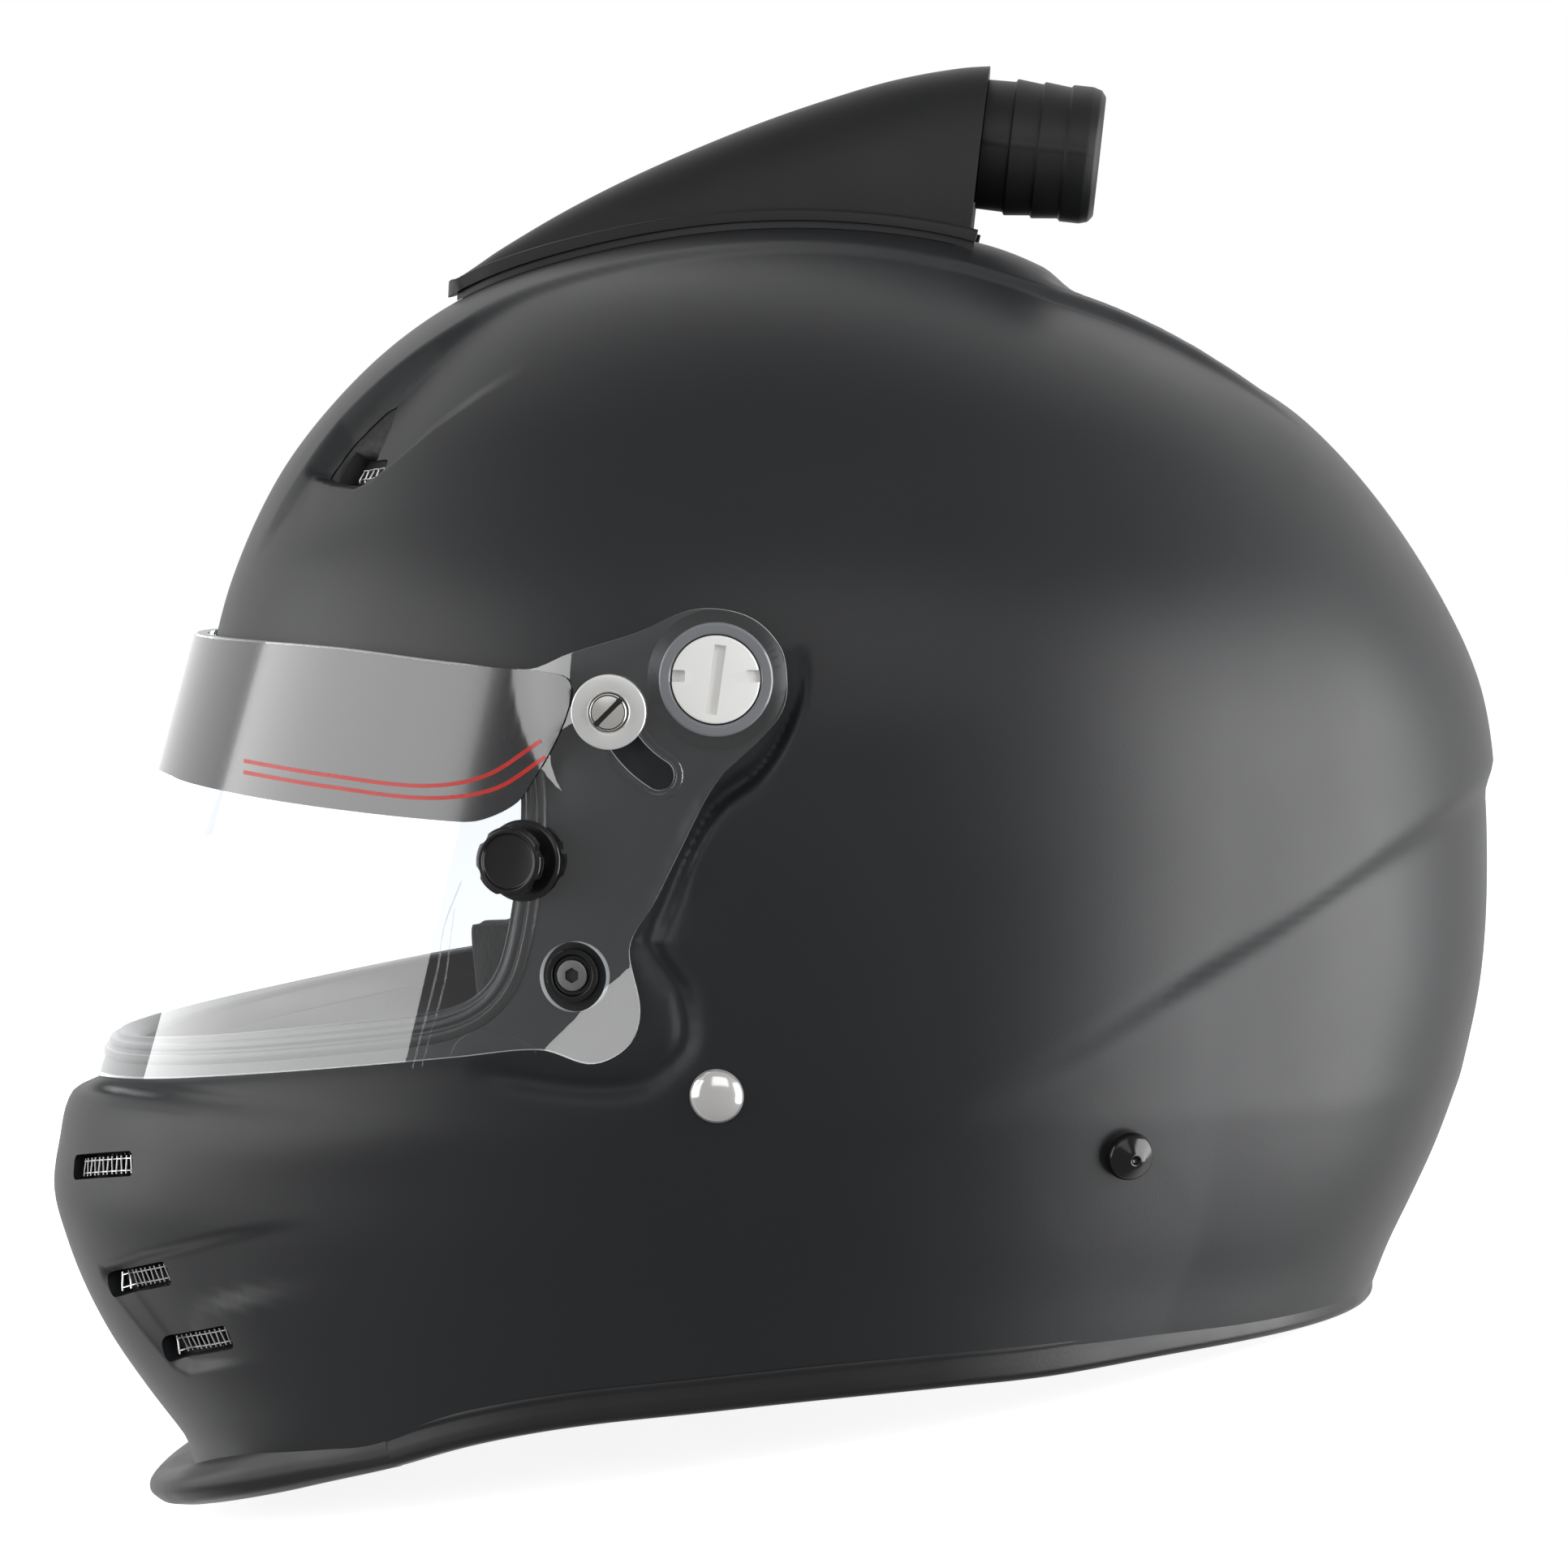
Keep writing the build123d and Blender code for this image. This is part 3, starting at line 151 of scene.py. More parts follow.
def screen_x(y, z, grow=0.0):
    """Half width of the screen's outside at a place in the side view."""
    share = np.clip((visor_widest_y - y) / (visor_widest_y - screen_front(z, grow)), 0, 1)
    main = (visor_half_width + grow) * np.sqrt(1 - share ** 2)
    radius = np.hypot(y - pivot_y, z - pivot_z)
    dome = visor_half_width + grow - ear_drop - ear_fall * np.minimum(1, radius / ear_radius) ** 2
    return dome + (main - dome) * soft_step((radius - ear_radius) / ear_blend)


def on_screen(turn, z, grow=0.0):
    y = visor_widest_y - (visor_widest_y - screen_front(z, grow)) * np.cos(turn)
    x = np.where(np.abs(np.sin(turn)) < 1e-6, 0, screen_x(y, z, grow))
    return np.stack([np.copysign(x, np.sin(turn)), y, z + 0 * y], -1)


def from_pivot(shares):
    """Outlines in the side view are kept as shares of the reach from the pivot to the front."""
    return [(pivot_y + y * visor_reach, pivot_z + z * visor_reach) for y, z in shares]


def from_datum(shares):
    return [(y * half_length, z * crown_height) for y, z in shares]


print("screen at the pivot", round(float(screen_x(pivot_y, pivot_z)), 1))

# %% [markdown]
# Three small helpers do most of the modelling. `mapped` takes Blender's grid and
# moves its points onto a curved form. `swept` runs a closed profile along a path,
# as a rubber edge is extruded. `spun` turns a profile round an axis, as a lathe
# does. Their shapes stay clean, with even faces that shade smoothly.

# %% Helpers that make meshes


def mapped(columns, rows, place, weld=1e-4):
    """A grid whose points go to place(u, v), with u and v from 0 to 1; meeting edges are welded."""
    bm = bmesh.new()
    bmesh.ops.create_grid(bm, x_segments=columns, y_segments=rows, size=0.5)
    flat = np.array([vert.co[:2] for vert in bm.verts]) + 0.5
    for vert, point in zip(bm.verts, place(flat[:, 0], flat[:, 1])):
        vert.co = point
    bmesh.ops.remove_doubles(bm, verts=bm.verts, dist=weld)
    bmesh.ops.recalc_face_normals(bm, faces=bm.faces)
    return bm


def closed_ends(bm):
    bmesh.ops.holes_fill(bm, edges=[edge for edge in bm.edges if edge.is_boundary], sides=0)
    bmesh.ops.recalc_face_normals(bm, faces=bm.faces)
    return bm


def swept(path, outward, profile):
    """A closed profile of (across, out) points run along a path; it may change on the way."""
    path, outward = np.array(path, float), np.array(outward, float)
    outward /= np.linalg.norm(outward, axis=1)[:, None]
    looped = np.allclose(path[0], path[-1])
    ahead = np.gradient(path, axis=0)
    if looped:
        ahead[0] = ahead[-1] = path[1] - path[-2]
    across = np.cross(outward, ahead)
    across /= np.linalg.norm(across, axis=1)[:, None]
    profile = np.array(profile, float)
    if profile.ndim == 2:
        profile = np.repeat(profile[None], len(path), 0)
    count = profile.shape[1]

    def place(u, v):
        i = np.rint(u * (len(path) - 1)).astype(int)
        j = np.rint(v * count).astype(int) % count
        return path[i] + across[i] * profile[i, j, :1] + outward[i] * profile[i, j, 1:]

    bm = mapped(len(path) - 1, count, place)
    return bm if looped else closed_ends(bm)


def round_section(radius, sides, squash=1.0):
    """The round section of a wire or bead, flattened where asked."""
    turns = [2 * math.pi * k / sides for k in range(sides)]
    return [(radius * math.cos(turn), squash * radius * math.sin(turn)) for turn in turns]


def softened(points, radius, steps=4, closed=False):
    """A run of points with its corners rounded."""
    points = [Vector(point) for point in points]
    count, out = len(points), []
    for i, corner in enumerate(points):
        if not closed and i in (0, count - 1):
            out.append(corner)
            continue
        before, after = points[i - 1] - corner, points[(i + 1) % count] - corner
        trim = min(radius, before.length * 0.45, after.length * 0.45)
        start, end = corner + before.normalized() * trim, corner + after.normalized() * trim
        for k in range(steps + 1):
            t = k / steps
            out.append(start * (1 - t) ** 2 + corner * 2 * t * (1 - t) + end * t ** 2)
    return [tuple(point) for point in out]


def spun(profile, radius=0.25, steps=64):
    """A profile of (radius, height) points, corners rounded, turned round the Z axis."""
    bm = bmesh.new()
    points = softened(profile, radius, 3) if radius else profile
    verts = [bm.verts.new((max(r, 0), 0, h)) for r, h in points]
    edges = [bm.edges.new(pair) for pair in zip(verts, verts[1:])]
    bmesh.ops.spin(bm, geom=verts + edges, cent=(0, 0, 0), axis=(0, 0, 1), angle=2 * math.pi,
                   steps=steps, use_merge=True)
    bmesh.ops.remove_doubles(bm, verts=bm.verts, dist=1e-4)
    bmesh.ops.recalc_face_normals(bm, faces=bm.faces)
    return bm


def curve_through(points, count, closed=False):
    """Points read evenly along a smooth curve through the given ones."""
    points = np.array(points, float)
    if closed:
        points = np.concatenate([points[-3:], points, points[:4]])
    steps = np.linalg.norm(np.diff(points, axis=0), axis=1)
    along = np.concatenate([[0], np.cumsum(steps)])
    first, last = (along[3], along[-4]) if closed else (along[0], along[-1])
    at = np.linspace(first, last, count + 1 if closed else count)
    return np.stack([smooth(along, points[:, k], at) for k in range(points.shape[1])], -1)


print("helpers ready")

# %% [markdown]
# Openings are cut with booleans. A side-view outline becomes a prism that runs
# across the helmet, and Blender's manifold solver cuts closed meshes cleanly in
# moments.

# %% Helpers that cut


def prism(outline, low=-165.0, high=165.0):
    bm = bmesh.new()
    face = bm.faces.new([bm.verts.new((low, y, z)) for y, z in outline])
    grown = bmesh.ops.extrude_face_region(bm, geom=[face])["geom"]
    bmesh.ops.translate(bm, vec=(high - low, 0, 0),
                        verts=[item for item in grown if isinstance(item, bmesh.types.BMVert)])
    bmesh.ops.recalc_face_normals(bm, faces=bm.faces)
    return bm


def stand_in(bm, name="form"):
    mesh = bpy.data.meshes.new(name)
    bm.to_mesh(mesh)
    bm.free()
    thing = bpy.data.objects.new(name, mesh)
    bpy.context.scene.collection.objects.link(thing)
    return thing


def combined(first, second, operation="DIFFERENCE"):
    """The boolean of two closed meshes; both are used up."""
    base, tool = stand_in(first), stand_in(second)
    cut = base.modifiers.new("cut", "BOOLEAN")
    cut.object, cut.operation, cut.solver = tool, operation, "MANIFOLD"
    result = bmesh.new()
    result.from_object(base, bpy.context.evaluated_depsgraph_get())
    for thing in (base, tool):
        mesh = thing.data
        bpy.data.objects.remove(thing)
        bpy.data.meshes.remove(mesh)
    if not result.faces:
        raise ValueError("the boolean left nothing")
    return result


def joined(*parts):
    """Separate meshes put into one."""
    whole = bmesh.new()
    for part in parts:
        mesh = bpy.data.meshes.new("part")
        part.to_mesh(mesh)
        part.free()
        whole.from_mesh(mesh)
        bpy.data.meshes.remove(mesh)
    return whole


def mirrored(bm):
    """A copy on the other side of the helmet."""
    other = bm.copy()
    bmesh.ops.scale(other, vec=(-1, 1, 1), verts=other.verts)
    bmesh.ops.reverse_faces(other, faces=other.faces)
    return other


def both_sides(bm):
    other = mirrored(bm)
    return joined(bm, other)


def sided(bm, side):
    """The piece as made for the left, or its mirror image for the right."""
    return mirrored(bm) if side == "right" else bm


def turned(degrees):
    return Matrix.Rotation(math.radians(degrees), 4, "Z")


def seat(surface, y, z, grow=0.0, turn=0.0):
    """A frame on a surface at a place in the side view, facing straight outwards."""
    step = 0.01
    lean = (surface(y + step, z, grow) - surface(y - step, z, grow)) / (2 * step)
    rise = (surface(y, z + step, grow) - surface(y, z - step, grow)) / (2 * step)
    out = Vector((1, -lean, -rise)).normalized()
    along = Vector((lean, 1, 0)).normalized()
    axes = Matrix((along, out.cross(along), out)).transposed().to_4x4()
    return Matrix.Translation((surface(y, z, grow), y, z)) @ axes @ turned(turn)


def sideways(y, z, x):
    """A frame that faces straight out along X on the left side."""
    axes = Matrix(((0, 1, 0), (0, 0, 1), (1, 0, 0))).transposed().to_4x4()
    return Matrix.Translation((x, y, z)) @ axes


def block(width, height, low, high, corner=0.0):
    """A block with rounded upright edges."""
    bm = bmesh.new()
    bmesh.ops.create_cube(bm, size=1)
    bmesh.ops.scale(bm, vec=(width, height, high - low), verts=bm.verts)
    bmesh.ops.translate(bm, vec=(0, 0, (high + low) / 2), verts=bm.verts)
    if corner:
        upright = [edge for edge in bm.edges
                   if abs(edge.verts[0].co.z - edge.verts[1].co.z) > 0.5 * (high - low)]
        bmesh.ops.bevel(bm, geom=upright, offset=corner, segments=5, profile=0.5, affect="EDGES", material=-1)
    return bm


def set_at(bm, place):
    bmesh.ops.transform(bm, matrix=place, verts=bm.verts)
    return bm


print("cutting helpers ready")

# %% [markdown]
# Finishes come next. Every material here starts from the same recipe: a
# Principled shader whose roughness and bump come from noise in the object's own
# coordinates, in metres. The colour moves a little with a slower noise, because
# no real surface is one flat tone.

# %% A material recipe


def added(nodes, kind, values):
    """A new shader node with some of its inputs set."""
    node = nodes.new("ShaderNode" + kind)
    for socket, value in values.items():
        node.inputs[socket].default_value = value
    return node


def finish(name, colour, rough, vary=0.15, metallic=0.0, grain=900.0, bump=0.05, bump_depth=0.0002,
           rough_span=0.08, coat=0.0, coat_rough=0.1, specular=0.5, sheen=0.0, patch=22.0):
    material = bpy.data.materials.new(name)
    material.use_nodes = True
    nodes, links = material.node_tree.nodes, material.node_tree.links
    shader = nodes["Principled BSDF"]
    for socket, value in (("Metallic", metallic), ("Specular IOR Level", specular), ("Coat Weight", coat),
                          ("Coat Roughness", coat_rough), ("Sheen Weight", sheen)):
        shader.inputs[socket].default_value = value
    place = nodes.new("ShaderNodeTexCoord").outputs["Object"]

    def noise(scale, detail=3.0):
        texture = added(nodes, "TexNoise", {"Scale": scale, "Detail": detail})
        links.new(place, texture.inputs["Vector"])
        return texture.outputs["Fac"]

    def spread(source, low, high):
        span = added(nodes, "MapRange", {"From Min": 0.3, "From Max": 0.7, "To Min": low, "To Max": high})
        links.new(source, span.inputs["Value"])
        return span.outputs["Result"]

    tone = nodes.new("ShaderNodeMix")
    tone.data_type = "RGBA"
    tone.inputs["A"].default_value = (*(channel * (1 - vary) for channel in colour), 1)
    tone.inputs["B"].default_value = (*(min(1, channel * (1 + vary)) for channel in colour), 1)
    links.new(spread(noise(patch), 0, 1), tone.inputs["Factor"])
    links.new(tone.outputs["Result"], shader.inputs["Base Color"])
    gloss_map = spread(noise(patch * 3), max(0.02, rough - rough_span), rough + rough_span)
    links.new(gloss_map, shader.inputs["Roughness"])
    height = added(nodes, "Bump", {"Strength": bump, "Distance": bump_depth})
    links.new(noise(grain, 2.0), height.inputs["Height"])
    links.new(height.outputs["Normal"], shader.inputs["Normal"])
    material["height"] = height.name
    return material


def height_of(material):
    """The bump node of a finish."""
    return material.node_tree.nodes[material["height"]]


shell_black = finish("shell_satin_black", (0.0165, 0.0175, 0.0195), 0.42, vary=0.05, grain=2600, bump=0.12,
                     bump_depth=0.00012, rough_span=0.02, specular=0.42, patch=12)
duct_black = finish("duct_moulded_black", (0.012, 0.0125, 0.0135), 0.47, vary=0.08, grain=2100, bump=0.16,
                    bump_depth=0.00015, rough_span=0.03, specular=0.4)
rubber_black = finish("edge_rubber", (0.014, 0.0145, 0.015), 0.42, vary=0.10, grain=1500, bump=0.12,
                      bump_depth=0.0002, rough_span=0.05, specular=0.45)
gasket_black = finish("gasket_rubber", (0.013, 0.0135, 0.014), 0.38, vary=0.12, grain=1700, bump=0.1,
                      bump_depth=0.0002, rough_span=0.06, specular=0.5)
hardware_black = finish("hardware_black", (0.009, 0.009, 0.010), 0.24, vary=0.10, grain=1500, bump=0.05,
                        bump_depth=0.0001, rough_span=0.06)
plug_black = finish("plug_gloss_black", (0.006, 0.006, 0.007), 0.16, vary=0.10, grain=1200, bump=0.03,
                    bump_depth=0.0001, rough_span=0.04)
disc_white = finish("pivot_disc_white", (0.90, 0.895, 0.88), 0.30, vary=0.03, grain=900, bump=0.04,
                    bump_depth=0.0001, rough_span=0.05)
steel_bright = finish("steel_bright", (0.72, 0.71, 0.68), 0.28, vary=0.06, metallic=0.7, grain=3000,
                      bump=0.06, bump_depth=0.0001)
steel_dark = finish("steel_blackened", (0.34, 0.34, 0.34), 0.34, vary=0.15, metallic=1.0, grain=2500,
                    bump=0.08, bump_depth=0.0001)
chrome_bright = finish("rivet_chrome", (0.88, 0.87, 0.85), 0.14, vary=0.03, metallic=0.6, grain=600,
                       bump=0.02, bump_depth=0.0001, rough_span=0.03)
# Painted shade: a dark finish put on the floors and walls of screw slots and sockets, where shadow falls.
painted_slot_shade = finish("painted_slot_shade", (0.020, 0.020, 0.021), 0.60, vary=0.2)
brass_plain = finish("insert_brass", (0.55, 0.40, 0.16), 0.32, vary=0.10, metallic=1.0)
wire_steel = finish("vent_wire", (0.62, 0.62, 0.63), 0.30, vary=0.10, metallic=1.0, grain=4000)
print("plain finishes", len(bpy.data.materials))

# %% [markdown]
# A turned washer shows fine rings from the cutting tool, so its bump is a wave
# in rings about its own axis. A Mapping node brings that axis to the middle of
# the pattern.

# %% Turned aluminium
slot_radius, slot_width, slot_start, slot_end = 24.1, 6.7, 16.9, 58.9
washer_turn = math.radians(slot_start)
washer_y = pivot_y - slot_radius * math.cos(washer_turn)
washer_z = pivot_z - slot_radius * math.sin(washer_turn)


def ringed_metal(name, centre, colour, rough):
    material = finish(name, colour, rough, vary=0.04, metallic=0.55, rough_span=0.05)
    nodes, links = material.node_tree.nodes, material.node_tree.links
    where = nodes.new("ShaderNodeTexCoord").outputs["Object"]
    shift = added(nodes, "Mapping", {"Location": [-value for value in centre]})
    wave = added(nodes, "TexWave", {"Scale": 700, "Distortion": 1.5})
    wave.wave_type, wave.rings_direction = "RINGS", "X"
    links.new(where, shift.inputs["Vector"])
    links.new(shift.outputs["Vector"], wave.inputs["Vector"])
    links.new(wave.outputs["Fac"], height_of(material).inputs["Height"])
    return material


washer_centre = worn @ Vector((0, washer_y, washer_z))
washer_metal = ringed_metal("washer_aluminium", washer_centre, (0.88, 0.88, 0.87), 0.30)
print("washer centre", [round(value, 4) for value in washer_centre])

# %% [markdown]
# Clear polycarbonate is thin here, so bending of the light can be left out: the
# shader lets light straight through and adds a mirror-like gloss that grows
# towards grazing angles, which is what Fresnel gives. Only the face that light
# enters by is given the gloss: at the other face a plain Fresnel factor would
# trap the light in the sheet. The screen's gloss is made three times stronger
# than Fresnel alone, a painted reflection that makes it mirror the studio brightly.

# %% Clear screen and smoked film


def clear_plastic(name, tint, rough, ior, most=1.0):
    material = bpy.data.materials.new(name)
    material.use_nodes = True
    nodes, links = material.node_tree.nodes, material.node_tree.links
    nodes.remove(nodes["Principled BSDF"])
    through = added(nodes, "BsdfTransparent", {"Color": (*tint, 1)})
    gloss = added(nodes, "BsdfGlossy", {"Roughness": rough, "Color": (most, most, most, 1)})
    place = nodes.new("ShaderNodeTexCoord").outputs["Object"]
    ripple = added(nodes, "TexNoise", {"Scale": 26})
    bump = added(nodes, "Bump", {"Strength": 0.05, "Distance": 0.0006})
    share = added(nodes, "Fresnel", {"IOR": ior})
    front = added(nodes, "Math", {0: 1})
    front.operation = "SUBTRACT"
    outer_only = added(nodes, "Math", {})
    outer_only.operation = "MULTIPLY"
    mix = added(nodes, "MixShader", {})
    links.new(place, ripple.inputs["Vector"])
    links.new(ripple.outputs["Fac"], bump.inputs["Height"])
    links.new(bump.outputs["Normal"], gloss.inputs["Normal"])
    links.new(nodes.new("ShaderNodeNewGeometry").outputs["Backfacing"], front.inputs[1])
    links.new(share.outputs["Fac"], outer_only.inputs[0])
    links.new(front.outputs[0], outer_only.inputs[1])
    links.new(outer_only.outputs[0], mix.inputs["Fac"])
    links.new(through.outputs["BSDF"], mix.inputs[1])
    links.new(gloss.outputs["BSDF"], mix.inputs[2])
    links.new(mix.outputs["Shader"], nodes["Material Output"].inputs["Surface"])
    return material


# Painted reflection: the screen's gloss is set to three times what Fresnel gives.
screen_clear = clear_plastic("screen_polycarbonate", (0.955, 0.965, 0.975), 0.012, 1.50, most=3.0)
line_clear = clear_plastic("screen_moulded_line", (0.86, 0.87, 0.88), 0.10, 1.6)
# Painted light: the screen's cut edges are coloured pale grey to stand for the light that the clear edge
# carries.
painted_edge_light = finish("screen_edge_painted_light", (0.72, 0.74, 0.76), 0.35, vary=0.1, specular=0.6)
ring_grey = finish("screen_pivot_ring", (0.20, 0.21, 0.225), 0.16, vary=0.1, specular=0.7)
film_smoked = finish("film_smoked", (0.016, 0.017, 0.020), 0.12, vary=0.25, grain=5000, bump=0.10,
                     bump_depth=0.00008, rough_span=0.04, specular=1.0, coat=0.7, coat_rough=0.08, patch=900)
stripe_red = finish("stripe_red", (0.62, 0.030, 0.022), 0.28, vary=0.05, grain=3000, bump=0.05,
                    bump_depth=0.00005)
print("clear and film finishes ready")

# %% [markdown]
# Each finished mesh is tipped to the resting attitude and given to the CAD body
# that carries it.

# %% Placing a finished piece


def made(bm, name, material, body="helmet", nodes=(), sharp=32.0, others=()):
    """A piece from a mesh in the worn attitude, in millimetres."""
    bm.transform(worn)
    return dressed(bm, name, material, body, nodes, sharp, others)


def dressed(bm, name, material, body, nodes, sharp, others=()):
    """A piece from a mesh in the resting attitude, in metres."""
    piece = stand_in(bm, name)
    piece.data.name = name
    piece.data.materials.append(material)
    for other in others:
        piece.data.materials.append(other)
    piece.data.polygons.foreach_set("use_smooth", [True] * len(piece.data.polygons))
    piece.data.set_sharp_from_angle(angle=math.radians(sharp))
    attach(piece, body)
    if nodes:
        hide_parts(*nodes)
    print(name, "faces", len(piece.data.polygons))
    return piece


print("pieces can be placed")

# %% [markdown]
# The outer shell is a lacquered composite. Its broad form is smooth, but the
# photograph shows a raised spine over the crown, a scooped brow vent, fins that
# run out at the rear, a long crease behind the ear, a shaped chin and a soft
# hollow round the screen, with a shadow groove round the screen's rear edge.
# These are moulded, not separate, so the points of one fine mesh are moved,
# mostly along its normals. The crease lines are side-view curves, and the
# distance to them says how far each point moves.

# %% Lines of the shell's features, in the side view
recess_outline = from_pivot([
    (-1.250, -0.640), (-0.901, -0.634), (-0.695, -0.606), (-0.375, -0.575), (-0.251, -0.590),
    (-0.166, -0.594), (-0.096, -0.580), (-0.038, -0.522), (-0.045, -0.442), (-0.090, -0.374),
    (-0.078, -0.339), (-0.003, -0.190), (0.065, -0.133), (0.116, -0.042), (0.125, 0.030),
    (0.110, 0.090), (0.060, 0.112), (-0.030, 0.112), (-0.118, 0.078), (-0.211, 0.050),
    (-0.270, 0.030), (-0.378, 0.034), (-0.580, 0.050), (-0.880, 0.055), (-1.250, 0.060)])
spine_y = [-125, -108, -100, -89, -78, 35, 50, 64, 77, 95, 107, 120]
spine_x = [36, 36.5, 35.2, 36, 36.8, 38.3, 35.6, 31.9, 26.5, 22.5, 22.3, 22]
spine_depth = [0, 1.8, 2.0, 1.6, 1.2, 1.2, 1.6, 2.2, 2.2, 1.8, 1.0, 0]
brow_line = [(-109.0, 73.3), (-102.0, 71.2), (-95.4, 70.2), (-90.8, 72.1), (-84.1, 77.2), (-75.4, 84.1),
             (-64.7, 91.0), (-50.0, 99.3)]
rear_crease = [(175.0, 12.0), (155.3, 1.5), (136.8, -8.1), (113.8, -22.1), (91.7, -34.2), (69.9, -47.6),
               (48.2, -59.0), (26.7, -71.9), (5.1, -85.0)]
chin_ridge = [(-170.0, -90.0), (-115.9, -76.7), (-81.7, -71.1), (-41.7, -59.1)]
beak_line = [(-70.0, -84.0), (-110.1, -92.4), (-121.9, -95.6), (-144.8, -103.5), (-155.5, -108.7),
             (-154.8, -111.5), (-137.3, -129.8), (-133.5, -131.0), (-120.3, -127.1), (-95.0, -119.0)]
lip_line = from_datum([
    (-0.490, -1.103), (-0.592, -1.158), (-0.722, -1.228), (-0.818, -1.302), (-0.846, -1.302),
    (-0.920, -1.290), (-1.100, -1.290)])
rim_line = from_datum([
    (0.900, -0.893), (0.776, -0.900), (0.634, -0.909), (0.503, -0.916), (0.376, -0.928), (0.252, -0.938),
    (0.087, -0.957), (-0.079, -0.983), (-0.248, -1.014), (-0.379, -1.053), (-0.490, -1.103)])


def measure(line, y, z, closed=False):
    """Distance to a line, positive on its left, and the share of the way along it."""
    points = np.array(line, float)
    starts = points if closed else points[:-1]
    ends = np.roll(points, -1, 0) if closed else points[1:]
    lengths = np.linalg.norm(ends - starts, axis=1)
    nearest, side, share = np.full(y.shape, 1e9), np.zeros(y.shape), np.zeros(y.shape)
    inside, gone = np.zeros(y.shape, bool), 0.0
    for (y0, z0), (y1, z1), length in zip(starts, ends, lengths):
        t = np.clip(((y - y0) * (y1 - y0) + (z - z0) * (z1 - z0)) / length ** 2, 0, 1)
        away = np.hypot(y - y0 - t * (y1 - y0), z - z0 - t * (z1 - z0))
        near = away < nearest
        nearest[near] = away[near]
        side[near] = np.sign((y1 - y0) * (z - z0) - (z1 - z0) * (y - y0))[near]
        share[near] = ((gone + t * length) / lengths.sum())[near]
        if closed:
            inside ^= ((z0 > z) != (z1 > z)) & (y < (y1 - y0) * (z - z0) / (z1 - z0 + 1e-12) + y0)
        gone += length
    return np.where(inside, nearest, -nearest) if closed else (nearest * side, share)


recess_edge = curve_through(recess_outline, 160, closed=True)[:-1]
print("recess outline points", len(recess_edge))

# %% The moulded features as a depth along the normal
fin_valley_depth, scoop_depth, crease_depth, ridge_height, beak_depth = 2.0, 3.6, 2.6, 0.5, 2.6
flare_depth, corner_flare = 6.5, 6.0


def chin_corner(x):
    """The chin is blunt: its lower edge stands further out at the two front corners."""
    return np.exp(-((np.abs(x) - 46) / 20) ** 2)


def feature_depth(x, y, z):
    """How far each point of the shell moves outwards."""
    half = np.abs(x)
    outside_spine = half - np.interp(y, spine_y, spine_x)
    high = soft_step((z - 52) / 14)
    depth = np.interp(y, spine_y, spine_depth)
    move = -high * depth * soft_step((outside_spine + 1.5) / 5) * (1 - soft_step((outside_spine - 6) / 46))
    between_fins = soft_step((y - 60) / 9) * (1 - soft_step((y - 96) / 26))
    between_fins *= soft_step((-outside_spine - 5) / 7)
    move -= fin_valley_depth * high * between_fins

    above, share = measure(brow_line, y, z)
    scoop = soft_step(above / 3.0) * (share > 0) * soft_step((outside_spine + 1) / 7) * high
    move -= scoop_depth * scoop * (1 - soft_step((y + 96) / 44))

    off, share = measure(rear_crease, y, z)
    strength = 1 - soft_step((share - 0.35) / 0.6)
    move -= crease_depth * strength * soft_step((off + 1.0) / 8) * (1 - soft_step((off - 8) / 70))

    off, share = measure(chin_ridge, y, z)
    strength = soft_step((share - 0.1) / 0.2) * (1 - soft_step((share - 0.6) / 0.4))
    move += ridge_height * np.exp(-(off / 9) ** 2) * strength

    off, share = measure(beak_line, y, z)
    fade = soft_step((share - 0.16) / 0.25) * (1 - soft_step((share - 0.74) / 0.16))
    fade *= (1 - soft_step((y + 150) / 75)) * soft_step((-y - 60) / 20)
    move -= beak_depth * fade * soft_step((off + 0.6) / 3.4)

    drop = np.interp(-y, [-point[0] for point in lip_line], [point[1] for point in lip_line])
    above_lip = z - drop
    forward = soft_step((-y - 96) / 44)
    flare = flare_depth + corner_flare * chin_corner(x)
    return move + flare * forward * (1 - soft_step((above_lip - 4) / 19)) ** 1.5


groove_depth = 1.9


def recessed(points):
    """Points drawn in to the floor of the hollow in which the screen lies."""
    x, y, z = points.T
    depth = -visor_thickness - visor_gap
    bearing = np.arctan2(np.abs(x), visor_widest_y - y)
    long = visor_widest_y - screen_front(z, depth)
    across, ahead = np.sin(bearing) / (visor_half_width + depth), np.cos(bearing) / long
    radius = 1 / np.sqrt(across ** 2 + ahead ** 2)
    floor_y = visor_widest_y - radius * np.cos(bearing)
    floor_x = screen_x(floor_y, z, depth)
    hollow = np.hypot(floor_x, floor_y - visor_widest_y) < np.hypot(x, y - visor_widest_y)
    inside = measure(recess_edge, y, z, closed=True)
    low_rear = soft_step((-z - 6) / 20) * soft_step((y + 56) / 14)
    lip = 3.0 + 6.0 * low_rear
    weight = soft_step(inside / lip + 0.45 + 0.35 * low_rear) * hollow * (y < visor_widest_y)
    floor = np.stack([np.copysign(floor_x, x), floor_y, z], -1)
    moved = points + (floor - points) * weight[:, None]
    groove = np.exp(-((inside - 1.8) / 2.6) ** 2) * soft_step((y + 66) / 14) * soft_step((28 - z) / 26)
    moved[:, 0] -= np.copysign(groove_depth * groove, x)
    return moved


scoop_floor = feature_depth(*np.array([[55.0], [-96.0], [76.0]]))
print("deepest scoop", round(float(scoop_floor[0]), 2))

# %% [markdown]
# The mesh starts as an even grid wrapped round the form. Edges near a crease are
# split once more, so that the crease stays crisp without making the whole shell
# heavy.

# %% The shell's outside


